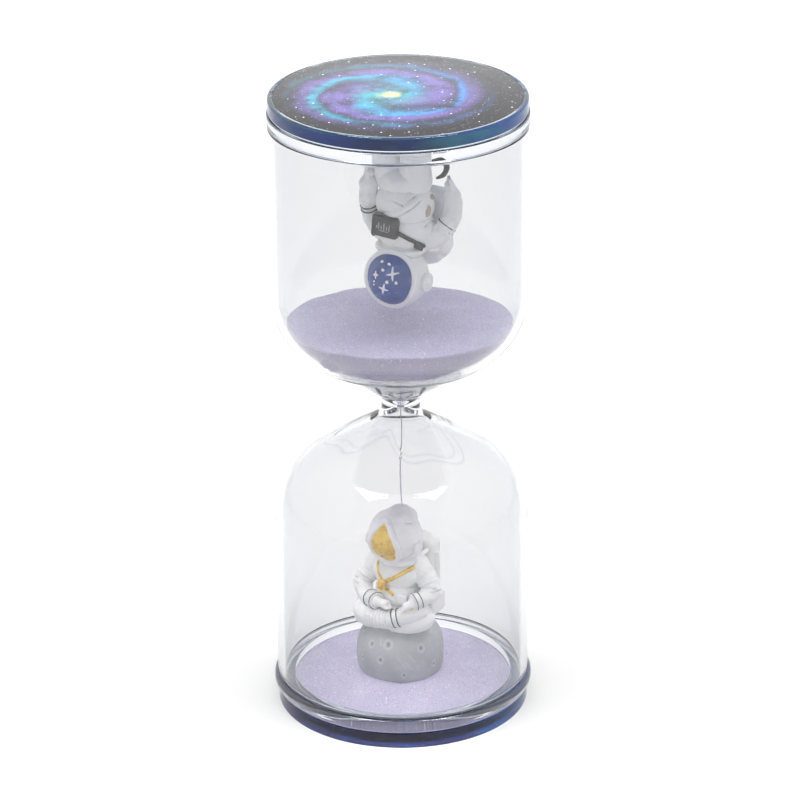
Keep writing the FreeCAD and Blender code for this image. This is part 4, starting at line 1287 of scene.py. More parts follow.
def hood():
    """Hood of the seated figure: a round dome drawn to a point behind, with a padded teardrop rim."""
    clay = Clay()
    clay.ball(HOOD_MIDDLE, (17.0, 16.8, 17.2))
    clay.ball((0, 0.6, 49.0), (15.2, 13.0, 12.5))
    clay.limb([(0, -4.0, 55.6), (0, 0.5, 56.0), (0.3, 4.6, 54.4), (0.6, 7.6, 52.0)], [4.2, 4.6, 3.6, 1.5])
    rim = [on_hood(*teardrop(k / 28, 6.1, 7.4, 51.1), proud=0.1) for k in range(28)]
    clay.limb(rim, [0.95] * 28, closed=True)
    clay.ball((0, -0.8, 44.6), (13.6, 12.4, 4.2))
    clay.limb([(7.0 * math.cos(a), 6.2 * math.sin(a) - 0.9, 43.4) for a in
               (2 * math.pi * k / 12 for k in range(12))], [0.85] * 12, closed=True)
    piece = clay.skin("hood_cast", HOOD_PAINT)
    folds = [
        [(1.8, -9.2, 58.0), (4.4, -7.2, 58.4), (6.4, -3.8, 57.0)],
        [(8.6, -6.6, 50.6), (9.2, -3.6, 53.4), (8.2, 0.4, 53.0), (6.8, 3.6, 50.8)],
        [(-8.6, -6.6, 50.6), (-9.2, -3.6, 53.4), (-8.2, 0.4, 53.0), (-6.8, 3.6, 50.8)],
        [(7.2, -5.6, 45.6), (8.2, -1.4, 46.0), (6.0, 4.4, 46.6)],
        [(-7.2, -5.6, 45.6), (-8.2, -1.4, 46.0), (-6.0, 4.4, 46.6)],
        [(0, 4.2, 58.6), (0.2, 7.0, 55.0), (0, 7.4, 50.0)],
    ]
    press(piece, folds, 0.45, 0.42)
    rumple(piece, 4.5, 0.16, 3)
    finish_piece(piece, SEATED, "suit_white", "hood", sharp=None)


def hood_caps():
    """Round ear caps with a raised rim."""
    clay = Clay()
    for hand in (-1, 1):
        middle = Vector((hand * 8.3, -3.4, 48.8))
        clay.ball(middle, (2.4, 4.6, 4.6))
        hoop = [middle + Vector((hand * 0.65, 2.0 * math.cos(a), 2.0 * math.sin(a)))
                for a in (2 * math.pi * k / 12 for k in range(12))]
        clay.limb(hoop, [0.42] * 12, closed=True)
    piece = clay.skin("hood_caps_cast", HOOD_PAINT, voxel=0.18)
    finish_piece(piece, SEATED, "suit_white", "hood_caps", sharp=None)


def gold_visor():
    """Teardrop visor, domed like the hood that it sits in."""
    bm = bmesh.new()
    turns, steps = 72, 22
    rings = [[bm.verts.new(on_hood(0, 51.1, 0.45))]]
    for step in range(1, steps + 1):
        share = step / steps
        ring = []
        for k in range(turns):
            across, height = teardrop(k / turns, 5.9 * share, 7.2 * share, 51.1)
            ring.append(bm.verts.new(on_hood(across, height, 0.45 - 0.25 * share ** 3)))
        rings.append(ring)
    back = [bm.verts.new(vertex.co + Vector((0, 1.4, 0))) for vertex in rings[-1]]
    rings.append(back)
    rings.append([bm.verts.new(on_hood(0, 51.1) + Vector((0, 2.0, 0)))])
    for ring, following in zip(rings, rings[1:]):
        join_rings(bm, ring, following)
    bmesh.ops.remove_doubles(bm, verts=bm.verts, dist=0.002)
    bmesh.ops.recalc_face_normals(bm, faces=bm.faces)
    piece = from_bmesh("gold_visor_cast", bm, GOLD)
    rumple(piece, 2.6, 0.05, 7)
    finish_piece(piece, SEATED, "gold_paint", "gold_visor")


def seated_torso():
    """Body of the seated figure, with its belt and the seams of its suit."""
    clay = Clay()
    clay.ball((0, 0, 38.4), (17.4, 14.4, 13.6))
    clay.ball((0, -0.4, 31.0), (16.0, 14.0, 14.0))
    clay.ball((0, 0.4, 25.8), (15.4, 13.4, 8.0))
    clay.limb([(7.5 * math.cos(a), 6.7 * math.sin(a), 27.6) for a in
               (2 * math.pi * k / 12 for k in range(12))], [0.8] * 12, closed=True)
    clay.slab((4.6, -6.4, 31.4), (3.4, 1.4, 3.2), 0.5, (0, 0, 24))
    piece = clay.skin("seated_torso_cast", SUIT)
    seams = [
        [(0.6, -7.4, 43.0), (0.2, -8.0, 36.0), (0.4, -8.0, 29.4)],
        [(-8.6, -1.0, 35.4), (-5.0, -6.2, 34.0), (-1.0, -7.4, 33.4)],
        [(8.6, -1.0, 35.8), (5.4, -6.0, 34.4), (2.0, -7.4, 33.6)],
        [(-7.8, -2.4, 31.0), (-4.2, -6.6, 30.2), (3.0, -7.2, 30.0), (7.6, -3.0, 30.8)],
        [(8.0, 1.0, 43.6), (8.4, 2.6, 38.0), (8.0, 1.8, 30.0)],
        [(-8.0, 1.0, 43.6), (-8.4, 2.6, 38.0), (-8.0, 1.8, 30.0)],
    ]
    press(piece, seams, 0.32, 0.34)
    rumple(piece, 3.4, 0.3, 5)
    return piece


def gold_straps(torso):
    """Gold harness that runs from both shoulders to the buckle, and the buckle itself."""
    surface = surface_of(torso)
    over_right = [(-5.6, -3.6, 43.6), (-4.9, -5.2, 41.4), (-3.7, -6.6, 38.8), (-2.6, -7.3, 37.0)]
    over_left = [
        (8.2, 1.2, 42.4), (7.4, -2.4, 42.2), (5.4, -5.6, 41.0), (1.6, -7.2, 38.4), (-1.0, -7.4, 36.8),
    ]
    below = [(-0.9, -7.6, 34.6), (0.7, -7.7, 33.6), (1.9, -7.6, 32.6)]
    right = ribbon("right_strap", GOLD, surface, over_right, 1.15, 0.5)
    left = ribbon("left_strap", GOLD, surface, over_left, 1.35, 0.55)
    tail = ribbon("strap_tail", GOLD, surface, below, 1.1, 0.5)
    harness = joined("gold_harness_straps", [right, left, tail])
    finish_piece(harness, SEATED, "gold_paint", "gold_harness")
    clay = Clay()
    clay.slab((-2.1, -7.75, 35.6), (3.0, 1.2, 3.7), 0.45, (4, 0, -8))
    clay.limb([(-2.1, -8.5, 35.6), (-2.1, -8.5, 35.7)], [0.42, 0.42])
    for hand in (-1, 1):
        clay.limb([(-2.1 + hand * 0.35, -8.3, 35.6), (-2.1 + hand * 1.0, -8.3, 36.4)], [0.2, 0.34])
        clay.limb([(-2.1 + hand * 0.35, -8.3, 35.6), (-2.1 + hand * 1.0, -8.3, 34.8)], [0.2, 0.34])
    clay.slab((-2.1, -8.2, 37.1), (2.7, 0.5, 0.35), 0.12, (4, 0, -8))
    clay.slab((-2.1, -8.3, 34.1), (2.7, 0.5, 0.35), 0.12, (4, 0, -8))
    buckle = clay.skin("gold_buckle_cast", GOLD, voxel=0.11, smoothing=3)
    finish_piece(buckle, SEATED, "gold_paint", "gold_buckle", sharp=None)


def seated_arm(hand):
    """One sleeve with its cuff rings, and the glove in the figure's lap."""
    clay = Clay()
    if hand > 0:
        places = [
            (6.6, 0.4, 40.4), (9.8, 0.2, 37.4), (11.9, -0.6, 33.6),
            (10.8, -4.2, 32.4), (9.2, -6.6, 31.8),
        ]
        glove_at, glove_to = (8.2, -8.0, 31.0), (4.6, -10.2, 29.4)
    else:
        places = [
            (-6.8, -0.2, 40.2), (-10.2, -0.8, 36.6), (-12.2, -2.2, 32.2),
            (-8.6, -6.2, 29.8), (-3.4, -9.2, 30.4),
        ]
        glove_at, glove_to = (-1.0, -9.9, 30.6), (3.6, -10.4, 29.6)
    clay.limb(places, [3.7, 3.4, 3.1, 2.6, 2.1])
    middle = [Vector(places[3]).lerp(Vector(places[4]), share) for share in (0.45, 1.05)]
    clay.ribs([places[0], places[1], places[2]], 3.35, 0.32, 4)
    clay.ribs(middle, 2.4, 0.36, 3)
    glove(clay, glove_at, glove_to, 2.3, hand)
    name = "left" if hand > 0 else "right"
    piece = clay.skin(f"seated_{name}_arm_cast", SUIT, voxel=0.22)
    elbow = Vector(places[2])
    creases = [[elbow + Vector((hand * 0.4, -2.6 + k * 1.1, 2.4 - k * 0.8)),
                elbow + Vector((hand * 2.6, -0.6, 1.6 - k * 0.7)),
                elbow + Vector((hand * 0.6, 2.4, 1.0 - k * 0.5))] for k in range(4)]
    press(piece, creases, 0.3, 0.3)
    rumple(piece, 2.4, 0.22, 4 + hand)
    finish_piece(piece, SEATED, "suit_white", f"seated_{name}_arm", sharp=None)
    grey_rings(f"seated_{name}_cuff_rings", middle, 2.78, 0.13, 2, SEATED)


def grey_rings(name, path, radius, thickness, count, place):
    """Thin dark rings painted in relief round a cuff."""
    piece = new_piece(name, path_mesh(path, 12), SOLE)
    grow(piece, RIBS, Rings=count, Radius=radius, Thickness=thickness, Finish=SOLE)
    finish_piece(piece, place, "sole_grey", sharp=None)


def boot(clay, ankle, toe, size):
    """A rounded boot from the ankle to the toe, on a thick sole."""
    ankle, toe = Vector(ankle), Vector(toe)
    heel = ankle + (ankle - toe).normalized() * size * 0.2
    clay.limb([heel, ankle.lerp(toe, 0.5), toe], [size * 0.92, size, size * 0.94])


def seated_leg(hand):
    """One crossed leg: ribbed shin, double cuff and boot."""
    clay = Clay()
    if hand < 0:
        places = [
            (-4.2, -0.6, 26.2), (-10.0, -4.6, 25.2), (-7.6, -8.0, 24.6), (-2.0, -9.5, 24.8),
            (3.2, -9.1, 25.6), (6.4, -7.6, 26.8),
        ]
        radii = [4.0, 3.7, 3.3, 3.0, 2.8, 2.6]
        toe = (9.9, -4.6, 28.3)
        ribs = [(-6.2, -8.8, 24.6), (-2.0, -9.5, 24.8), (2.0, -9.3, 25.3)]
    else:
        places = [
            (4.2, -0.6, 26.2), (10.2, -2.6, 24.6), (7.0, -6.0, 23.2),
            (0.0, -7.0, 22.6), (-5.0, -7.2, 22.4),
        ]
        radii = [4.0, 3.6, 3.2, 2.9, 2.7]
        toe = (-10.0, -6.4, 22.7)
        ribs = [(6.0, -6.3, 23.0), (2.0, -6.9, 22.7)]
    clay.limb(places, radii)
    clay.ribs(ribs, 3.02, 0.3, 9 if hand < 0 else 5)
    boot(clay, places[-1], toe, 3.1 if hand < 0 else 2.9)
    name = "left" if hand > 0 else "right"
    piece = clay.skin(f"seated_{name}_leg_cast", SUIT, voxel=0.22, smoothing=3)
    rumple(piece, 2.6, 0.16, 8 + hand)
    finish_piece(piece, SEATED, "suit_white", f"seated_{name}_leg", sharp=None)
    if hand < 0:
        grey_rings("shin_cuff_rings", [(3.0, -9.15, 25.55), (4.5, -8.6, 26.0)], 3.02, 0.17, 2, SEATED)
        return
    clay = Clay()
    surface_point = Vector((8.7, -7.9, 28.4))
    clay.ball(surface_point, (3.0, 0.8, 3.6), (8, 0, 30))
    clay.ball(surface_point + Vector((-0.9, 0.25, -1.4)), (1.6, 0.8, 1.2), (0, 0, 30))
    patch = clay.skin("gold_boot_patch", GOLD, voxel=0.14, smoothing=3)
    rumple(patch, 0.9, 0.12, 2)
    finish_piece(patch, SEATED, "gold_paint", sharp=None)


def seated_backpack():
    """Life-support pack: narrowing top, side tanks, panel lines and a wider lower block."""
    clay = Clay()
    clay.slab((1.0, 9.9, 36.0), (14.6, 7.6, 21.0), 2.6)
    clay.ball((1.0, 9.6, 45.2), (13.2, 7.4, 6.2))
    clay.slab((1.0, 10.2, 24.4), (15.8, 8.4, 7.2), 1.1)
    for side in (-1, 1):
        clay.limb([(1.0 + side * 6.9, 9.6, 29.6), (1.0 + side * 7.0, 9.6, 42.0)], [1.25, 1.25])
        clay.limb([(1.0 + side * 3.2, 13.4, 31.0), (1.0 + side * 3.2, 13.5, 43.0)], [1.1, 1.1])
    clay.slab((1.0, 13.5, 37.5), (3.6, 1.2, 8.0), 0.4)
    clay.slab((1.0, 14.1, 25.0), (8.0, 1.0, 3.6), 0.35)
    clay.limb([(-5.6, 5.6, 43.4), (-6.2, 2.6, 43.8), (-6.0, 0.6, 43.0)], [0.9, 0.9, 0.8])
    clay.limb([(6.6, 5.6, 43.4), (7.0, 2.6, 43.8), (6.8, 0.6, 43.0)], [0.9, 0.9, 0.8])
    piece = clay.skin("seated_backpack_cast", SUIT, voxel=0.26)
    seams = [
        [(8.9, 6.6, 42.4), (8.9, 12.6, 42.6)], [(8.9, 6.4, 32.0), (8.9, 12.8, 32.2)],
        [(-6.9, 6.6, 42.4), (-6.9, 12.6, 42.6)], [(-6.9, 6.4, 32.0), (-6.9, 12.8, 32.2)],
        [(-5.4, 14.0, 29.2), (7.4, 14.0, 29.2)], [(-5.4, 13.8, 44.6), (7.4, 13.8, 44.6)],
        [(9.0, 6.2, 28.4), (9.0, 13.6, 28.4)], [(-7.0, 6.2, 28.4), (-7.0, 13.6, 28.4)],
    ]
    press(piece, seams, 0.35, 0.4)
    rumple(piece, 5.0, 0.12, 6)
    finish_piece(piece, SEATED, "suit_white", "seated_backpack", sharp=None)


def seated_astronaut():
    hood()
    hood_caps()
    gold_visor()
    torso = seated_torso()
    gold_straps(torso)
    finish_piece(torso, SEATED, "suit_white", "seated_torso", sharp=None)
    for hand in (-1, 1):
        seated_arm(hand)
        seated_leg(hand)
    seated_backpack()


# ---------------------------------------------------------------- the hanging astronaut

HELMET_MIDDLE = Vector((0, -3.6, 53.0))
HELMET_ROUND = 9.7
VISOR_TURN = math.radians(8)


def helmet():
    """Round helmet with a padded rim round the visor and a neck ring."""
    clay = Clay()
    clay.ball(HELMET_MIDDLE, (19.2, 19.2, 19.4))
    clay.limb([visor_point(k / 30, 1.02, 0.15) for k in range(30)], [0.95] * 30, closed=True)
    clay.ball((0, -1.6, 44.6), (15.6, 14.2, 5.0))
    clay.limb([(7.6 * math.cos(a), 6.9 * math.sin(a) - 1.2, 44.0) for a in
               (2 * math.pi * k / 12 for k in range(12))], [0.9] * 12, closed=True)
    piece = clay.skin("helmet_cast", HANGING_SUIT)
    press(piece, [[(-9.2, -6.0, 57.0), (-9.9, -2.0, 56.0), (-8.4, 2.6, 53.0)],
                  [(9.2, -6.0, 57.0), (9.9, -2.0, 56.0), (8.4, 2.6, 53.0)],
                  [(0, 4.4, 60.0), (0, 6.2, 54.0), (0, 5.0, 47.0)]], 0.4, 0.35)
    rumple(piece, 6.0, 0.10, 9)
    finish_piece(piece, HANGING, "suit_white", "helmet", sharp=None)


def visor_point(share, grow_by=1.0, proud=0.0, pull=1.0):
    """A point of the egg round the blue visor; pull below 1 draws it in towards the middle."""
    angle = 2 * math.pi * share
    across = 7.7 * grow_by * pull * math.sin(angle) * (1 - 0.10 * math.cos(angle))
    height = 8.6 * grow_by * pull * math.cos(angle)
    inside = max(4.0, (HELMET_ROUND + proud) ** 2 - across ** 2 - height ** 2)
    place = Vector((across, -math.sqrt(inside), height))
    place.rotate(Euler((0, 0, -VISOR_TURN)))
    return HELMET_MIDDLE + Vector((0, 0, -0.5)) + place


def blue_visor():
    """Egg-shaped blue visor, fuller than the helmet."""
    bm = bmesh.new()
    turns, steps = 84, 26
    rings = []
    for step in range(steps + 1):
        share = step / steps
        bulge = 0.9 - 0.75 * share ** 2.5
        ring = [visor_point(k / turns, 1.0, bulge, share) for k in range(turns)]
        rings.append([bm.verts.new(point) for point in (ring if step else ring[:1])])
    back = Vector((0, 2.0, 0))
    rings.append([bm.verts.new(vertex.co + back) for vertex in rings[-1]])
    rings.append([bm.verts.new(rings[0][0].co + back * 1.6)])
    for ring, following in zip(rings, rings[1:]):
        join_rings(bm, ring, following)
    bmesh.ops.recalc_face_normals(bm, faces=bm.faces)
    return from_bmesh("blue_visor_cast", bm, BLUE)


# Painted marks on the blue visor: how far each is across and up from its middle, and its size.
STAR_CROSSES = [(-2.3, -3.6, 3.9, 12), (0.2, 1.3, 3.5, -14), (3.2, -2.6, 2.2, 8)]
STAR_DOTS = [(2.1, -6.4, 0.58), (-0.5, -6.1, 0.6), (0.9, -4.4, 0.58), (-1.0, -1.1, 0.6), (-3.6, -1.0, 0.58),
             (3.6, -0.5, 0.36), (3.7, 0.6, 0.34)]


def star_marks(visor):
    """White stars and dots laid on the visor in thick paint."""
    surface = surface_of(visor)
    middle = HELMET_MIDDLE + Vector((-1.3, 0, -0.5))

    def laid(across, height):
        start = Vector((middle.x + across, -30, middle.z + height))
        place, normal, _, _ = surface.ray_cast(start, Vector((0, 1, 0)))
        return place - normal * 0.04 if place else None

    bm = bmesh.new()
    for across, height, size, lean in STAR_CROSSES:
        for spoke in (0, 90):
            angle = math.radians(spoke + lean)
            run = size / 2 * (1.0 if spoke else 0.85)
            path = [laid(across + math.cos(angle) * run * k, height + math.sin(angle) * run * k)
                    for k in (-1, -0.5, 0, 0.5, 1)]
            if all(path):
                sweep(bm, path, [0.18, 0.34, 0.44, 0.34, 0.18], sides=8, steps=12)
    for across, height, radius in STAR_DOTS:
        place = laid(across, height)
        if place:
            shape = Matrix.Translation(place) @ Matrix.Diagonal((radius, 0.3, radius, 1))
            bmesh.ops.create_icosphere(bm, subdivisions=3, radius=1, matrix=shape)
    piece = from_bmesh("visor_star_marks", bm, WHITE_MARK)
    finish_piece(piece, HANGING, "suit_white", sharp=None)


def helmet_caps():
    clay = Clay()
    for hand in (-1, 1):
        middle = Vector((hand * 9.5, -3.2, 53.4))
        clay.ball(middle, (3.0, 5.6, 5.6))
        hoop = [middle + Vector((hand * 0.8, 2.5 * math.cos(a), 2.5 * math.sin(a)))
                for a in (2 * math.pi * k / 12 for k in range(12))]
        clay.limb(hoop, [0.5] * 12, closed=True)
        clay.ball(middle + Vector((hand * 1.2, 0, 0)), (1.4, 2.2, 2.2))
    piece = clay.skin("helmet_caps_cast", HANGING_SUIT, voxel=0.2)
    finish_piece(piece, HANGING, "suit_white", "helmet_caps", sharp=None)


def hanging_torso():
    """Padded body with a sash fold across it and the creases of its waist."""
    clay = Clay()
    clay.ball((-0.4, 0, 38.0), (20.0, 15.6, 16.0))
    clay.ball((-0.6, -0.4, 30.0), (19.0, 15.8, 16.0))
    clay.ball((0, 0, 22.6), (17.2, 14.2, 11.0))
    piece = clay.skin("hanging_torso_cast", HANGING_SUIT)
    sash = [(4.0, -7.6, 33.4), (-1.1, -8.2, 31.6), (-6.0, -6.4, 28.2), (-9.6, -1.6, 23.8), (-9.0, 3.0, 21.6)]
    press(piece, [sash], 1.0, -0.75)
    seams = [
        [(5.6, -6.0, 21.6), (3.0, -7.2, 22.2), (-3.0, -7.4, 23.4), (-7.8, -4.4, 24.8)],
        [(6.2, -6.4, 25.2), (3.4, -7.6, 25.6), (-1.0, -8.0, 27.0), (-4.6, -7.4, 28.4)],
        [(3.6, -7.8, 34.4), (-1.4, -8.6, 32.9), (-6.4, -6.8, 29.6), (-10.0, -1.8, 25.2)],
        [(4.4, -7.2, 32.2), (-0.8, -7.8, 30.2), (-5.6, -6.0, 26.8), (-9.2, -1.4, 22.4)],
        [(-4.0, -7.0, 41.6), (-8.0, -4.0, 43.0), (-9.6, 0.0, 42.4)],
        [(0.5, -7.6, 43.0), (0.2, -8.0, 39.6)],
        [(7.8, -3.6, 30.0), (9.4, 0.0, 31.4), (8.8, 3.6, 31.0)],
        [(-8.4, 3.4, 36.0), (-9.8, 0.6, 34.4), (-9.4, -2.6, 35.6)],
    ]
    press(piece, seams, 0.34, 0.42)
    rumple(piece, 3.8, 0.28, 11)
    return piece


def chest_pack():
    """Dark pack on the chest, with a framed panel of plain raised marks and a small valve."""
    clay = Clay()
    turn = (0, 5, -6)
    clay.slab((1.3, -8.3, 35.4), (8.4, 3.0, 7.0), 0.5, turn)
    for across in (-3.7, 3.7):
        clay.slab((1.3 + across, -9.8 - across * 0.1, 35.4 - across * 0.09), (0.5, 0.5, 6.2), 0.15, turn)
    for up in (-3.0, 3.0):
        clay.slab((1.3, -9.8, 35.4 + up), (7.4, 0.5, 0.5), 0.15, turn)
    clay.ball((5.4, -9.0, 38.6), (1.5, 1.5, 1.5))
    piece = clay.skin("chest_pack_cast", CHARCOAL, voxel=0.16, smoothing=3)
    rumple(piece, 1.6, 0.05, 3)
    finish_piece(piece, HANGING, "charcoal_paint", "chest_pack", sharp=None)
    marks = Clay()
    strokes = ((-2.0, 2.2), (-1.1, 1.4), (-0.2, 2.4), (0.7, 1.4), (1.6, 2.2), (2.3, 1.0))
    for number, (across, tall) in enumerate(strokes):
        place = (1.3 + across, -9.82 - across * 0.1, 35.4 - across * 0.09 + (0.25 if number % 2 else -0.1))
        marks.slab(place, (0.42, 0.4, tall), 0.12, turn)
    marks.slab((1.3, -9.85, 36.8), (3.4, 0.3, 0.3), 0.1, turn)
    silver = marks.skin("chest_pack_marks", MARK_SILVER, voxel=0.09, smoothing=2)
    finish_piece(silver, HANGING, "charcoal_paint", sharp=None)


def body_strap(torso):
    """Dark strap that runs from the chest pack round the body, with its buckle, and the hook on the belt."""
    surface = surface_of(torso)
    strap = ribbon("strap_band", CHARCOAL, surface,
                   [(-2.4, -8.0, 37.2), (-5.4, -6.8, 38.8), (-8.0, -4.8, 40.8), (-9.8, -1.6, 43.4),
                    (-9.6, 1.6, 44.0), (-7.6, 4.6, 43.0)], 1.5, 0.8)
    far = ribbon("strap_far_side", CHARCOAL, surface,
                 [(5.0, -7.2, 36.0), (8.4, -3.8, 37.4), (9.4, 0.6, 39.0), (7.8, 4.6, 40.6)], 1.3, 0.7)
    clay = Clay()
    clay.slab((-8.4, -4.9, 41.3), (3.0, 1.3, 2.4), 0.35, (18, 28, -38))
    buckle = clay.skin("strap_buckle", CHARCOAL, voxel=0.16, smoothing=3)
    hook = Clay()
    bent = [(-9.0, 2.6, 15.8), (-11.6, 3.4, 15.4), (-13.0, 4.0, 17.4), (-12.2, 3.6, 20.0), (-10.4, 2.6, 21.2)]
    hook.limb(bent, [0.5, 0.85, 0.95, 0.8, 0.45])
    hook = hook.skin("belt_hook", CHARCOAL, voxel=0.16, smoothing=3)
    piece = joined("body_strap_band", [strap, far, buckle, hook])
    finish_piece(piece, HANGING, "charcoal_paint", "body_strap")


def tan_patches(torso):
    """Tan patches on the belt."""
    surface = surface_of(torso)
    clay = Clay()
    for place, widths in (((-9.0, -1.6, 30.6), (2.6, 2.6, 4.4)), ((-9.6, 1.6, 26.8), (2.6, 3.4, 2.0)),
                          ((-8.8, 3.0, 24.8), (2.2, 2.6, 1.6))):
        laid, normal, _, _ = surface.find_nearest(Vector(place))
        clay.ball(laid - normal * 0.7, widths)
    piece = clay.skin("tan_belt_patches", TAN, voxel=0.2, smoothing=2)
    rumple(piece, 1.2, 0.18, 4)
    finish_piece(piece, HANGING, "suit_white", sharp=None)


def hanging_arm(hand):
    """One arm down at the side: sleeve, bellows, dark wrist band and glove."""
    clay = Clay()
    name = "left" if hand > 0 else "right"
    if hand > 0:
        places = [
            (7.4, -0.4, 40.0), (9.9, -2.0, 36.4), (10.4, -3.6, 32.2),
            (9.9, -4.4, 28.0), (9.9, -4.4, 24.4),
        ]
        radii = [3.8, 3.2, 2.4, 2.7, 3.0]
        glove_at, glove_to = (9.9, -4.4, 22.0), (9.2, -4.2, 16.5)
        bellows = [(10.2, -4.0, 30.4), (9.9, -4.4, 27.0)]
        band = [(10.4, -3.3, 33.0), (10.4, -3.7, 31.6)]
    else:
        places = [
            (-7.6, 0.6, 40.4), (-11.4, 2.0, 39.0), (-14.0, 4.4, 34.8),
            (-14.4, 5.6, 30.0), (-14.0, 5.6, 27.0),
        ]
        radii = [3.9, 3.3, 2.9, 2.8, 2.6]
        glove_at, glove_to = (-13.8, 5.4, 25.0), (-12.4, 4.2, 20.4)
        bellows = [(-10.2, 1.6, 39.8), (-12.6, 3.0, 37.6)]
        band = [(-12.6, 3.2, 37.4), (-13.2, 3.8, 36.3)]
    clay.limb(places, radii)
    clay.ribs(bellows, 2.75 if hand > 0 else 3.2, 0.36, 5 if hand > 0 else 3)
    glove(clay, glove_at, glove_to, 2.7, -hand)
    piece = clay.skin(f"hanging_{name}_arm_cast", HANGING_SUIT, voxel=0.22)
    elbow = Vector(places[2])
    creases = [[elbow + Vector((-hand * 1.2, -2.8, 2.0 - k * 1.3)),
                elbow + Vector((hand * 2.4, -1.2, 1.2 - k * 1.2)),
                elbow + Vector((hand * 1.6, 2.2, 1.4 - k * 1.2))] for k in range(3)]
    press(piece, creases, 0.3, 0.32)
    rumple(piece, 2.6, 0.24, 13 + hand)
    finish_piece(piece, HANGING, "suit_white", f"hanging_{name}_arm", sharp=None)
    grey_rings(f"hanging_{name}_wrist_band", band, 2.62 if hand > 0 else 3.1, 0.2, 2, HANGING)


def hanging_leg(hand):
    """One leg and its boot, standing on the inside of the lid."""
    clay = Clay()
    name = "left" if hand > 0 else "right"
    places = [
        (hand * 4.4, 0, 22.4), (hand * 5.0, -1.2, 16.0), (hand * 5.6, -1.4, 11.4),
        (hand * 5.7, -0.2, 7.0),
    ]
    clay.limb(places, [5.2, 4.9, 4.4, 4.2])
    clay.ribs([(hand * 5.2, -1.4, 14.0), (hand * 5.6, -1.2, 9.6)], 4.55, 0.36, 5)
    clay.limb([(hand * 5.7, 1.2, 4.9), (hand * 5.8, -1.0, 4.8), (hand * 5.9, -3.2, 4.4)], [4.1, 4.1, 3.6])
    piece = clay.skin(f"hanging_{name}_leg_cast", HANGING_SUIT, voxel=0.24)
    press(piece, [[(hand * 9.6, -3.0, 6.9), (hand * 6.0, -6.4, 6.6), (hand * 2.0, -3.6, 6.9)],
                  [(hand * 9.8, 1.0, 18.4), (hand * 7.0, -4.4, 17.6), (hand * 2.0, -4.8, 18.0)]], 0.34, 0.36)
    points, _ = coordinates(piece.data)
    points[:, 2] = np.maximum(points[:, 2], 2.5)
    move_points(piece, points)
    rumple(piece, 3.4, 0.16, 16 + hand)
    finish_piece(piece, HANGING, "suit_white", f"hanging_{name}_leg", sharp=None)


def hanging_soles():
    """Grey treaded soles, glued to the inside of the lid."""
    clay = Clay()
    for hand in (-1, 1):
        clay.slab((hand * 5.8, -1.2, 1.45), (8.6, 13.0, 2.3), 0.7)
        for k in range(6):
            clay.slab((hand * 5.8, -6.2 + k * 2.0, 0.55), (8.8, 0.9, 0.9), 0.2)
    piece = clay.skin("hanging_soles_cast", SOLE, voxel=0.2, smoothing=2)
    points, _ = coordinates(piece.data)
    points[:, 2] = np.clip(points[:, 2], 0.05, 2.45)
    move_points(piece, points)
    finish_piece(piece, HANGING, "sole_grey", "hanging_soles", sharp=None)


def hanging_backpack():
    """Life-support pack with a domed head, round tanks, a hatch and hoses."""
    clay = Clay()
    clay.slab((-1.4, 10.8, 38.4), (17.4, 7.4, 21.0), 2.4)
    clay.slab((-1.4, 10.8, 46.4), (15.0, 7.6, 9.4), 2.8)
    clay.ball((-1.4, 10.6, 50.4), (11.6, 6.6, 5.6))
    for side in (-1, 1):
        clay.limb([(-1.4 + side * 8.3, 10.2, 30.4), (-1.4 + side * 8.3, 10.2, 41.0)], [1.5, 1.5])
        clay.ball((-1.4 + side * 7.4, 10.4, 46.6), (3.2, 5.2, 5.2))
        hose = [
            (-1.4 + side * 6.0, 7.0, 44.0), (-1.4 + side * 8.4, 3.4, 44.6), (-1.4 + side * 7.4, 0.2, 44.0),
        ]
        clay.limb(hose, [0.9, 0.85, 0.8])
    clay.slab((-1.4, 14.4, 38.0), (9.0, 1.2, 10.0), 0.5)
    piece = clay.skin("hanging_backpack_cast", HANGING_SUIT, voxel=0.26)
    seams = [
        [(-9.8, 7.6, 43.6), (-10.0, 13.4, 43.6)], [(-9.9, 7.6, 34.0), (-10.2, 13.4, 34.0)],
        [(7.0, 7.6, 43.6), (7.2, 13.4, 43.6)], [(7.0, 7.6, 34.0), (7.2, 13.4, 34.0)],
        [(-8.6, 14.6, 44.0), (5.8, 14.6, 44.0)], [(-8.6, 14.6, 31.6), (5.8, 14.6, 31.6)],
    ]
    press(piece, seams, 0.35, 0.4)
    rumple(piece, 5.0, 0.12, 21)
    finish_piece(piece, HANGING, "suit_white", "hanging_backpack", sharp=None)


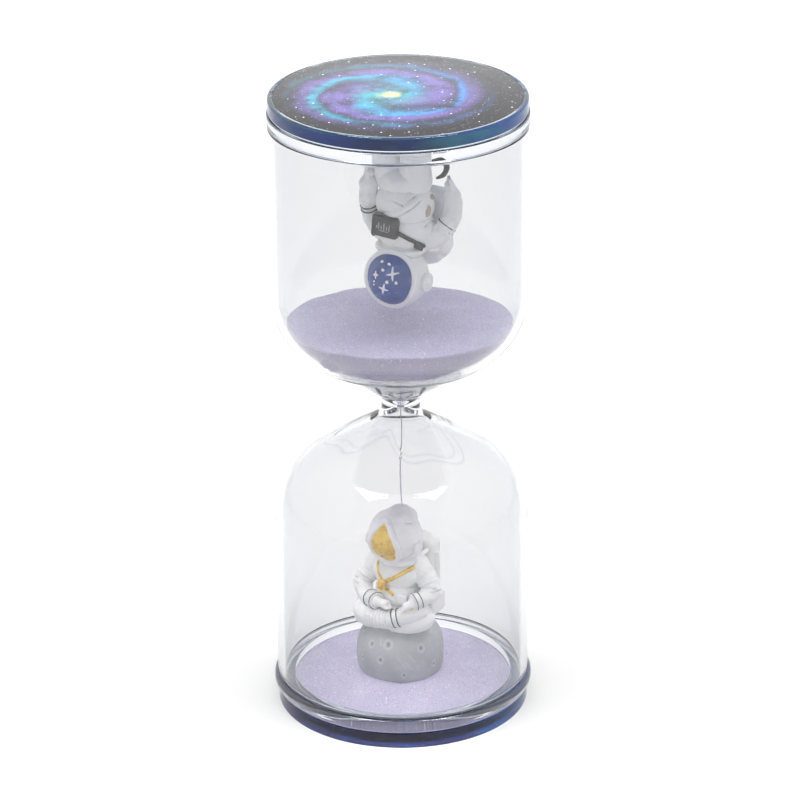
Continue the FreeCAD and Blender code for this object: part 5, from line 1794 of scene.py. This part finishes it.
def hanging_astronaut():
    helmet()
    helmet_caps()
    visor = blue_visor()
    star_marks(visor)
    finish_piece(visor, HANGING, "blue_paint", "blue_visor")
    torso = hanging_torso()
    body_strap(torso)
    tan_patches(torso)
    finish_piece(torso, HANGING, "suit_white", "hanging_torso", sharp=None)
    chest_pack()
    for hand in (-1, 1):
        hanging_arm(hand)
        hanging_leg(hand)
    hanging_soles()
    hanging_backpack()


# ---------------------------------------------------------------- stage

def studio():
    """Pale floor, bright surroundings and two overhead softboxes."""
    bpy.ops.mesh.primitive_plane_add(size=6.0)
    floor = bpy.context.object
    floor.name = "studio_floor"
    floor.data.materials.append(floor_material())

    world = bpy.data.worlds.new("studio")
    bpy.context.scene.world = world
    world.use_nodes = True
    tree = world.node_tree
    background = tree.nodes["Background"]
    background.inputs["Color"].default_value = (1.0, 1.0, 1.0, 1)
    background.inputs["Strength"].default_value = 1.28

    softboxes = (
        ("left_softbox", (-0.37, -0.06, 1.28), 0.40, 6.2),
        ("right_softbox", (0.37, -0.06, 1.28), 0.40, 6.2),
    )
    for name, place, size, power in softboxes:
        lamp = bpy.data.lights.new(name, "AREA")
        lamp.size = size
        lamp.energy = power
        made = bpy.data.objects.new(name, lamp)
        made.location = place
        made.rotation_euler = (Vector((0, 0, 0.1)) - Vector(place)).to_track_quat("-Z", "Y").to_euler()
        bpy.context.scene.collection.objects.link(made)


def camera():
    """A long lens a little over a metre away, looking down at the object."""
    data = bpy.data.cameras.new("camera")
    data.sensor_width = 36.0
    data.lens = 190.1
    data.clip_start = 0.05
    made = bpy.data.objects.new("camera", data)
    made.location = (-0.0002, -1.2158, 0.6172)
    tilt = Matrix.Rotation(math.radians(90 - 22.97), 4, "X")
    roll = Matrix.Rotation(math.radians(-0.5), 4, "Z")
    made.rotation_euler = (tilt @ roll).to_euler()
    bpy.context.scene.collection.objects.link(made)
    bpy.context.scene.camera = made


glass_body()
for end in ("lower", "upper"):
    clear_ring(end)
    clear_disc(end)
bond_lines()
film("upper", UPPER_PRINT, UPPER_INK)
film("lower", LOWER_PRINT, LOWER_INK)
upper_sand()
lower_sand()
falling_sand()
moon()
seated_astronaut()
hanging_astronaut()
studio()
camera()

scene = bpy.context.scene
scene.view_settings.view_transform = "Standard"
scene.cycles.max_bounces = 24
scene.cycles.transmission_bounces = 24
scene.cycles.glossy_bounces = 8
scene.cycles.transparent_max_bounces = 24
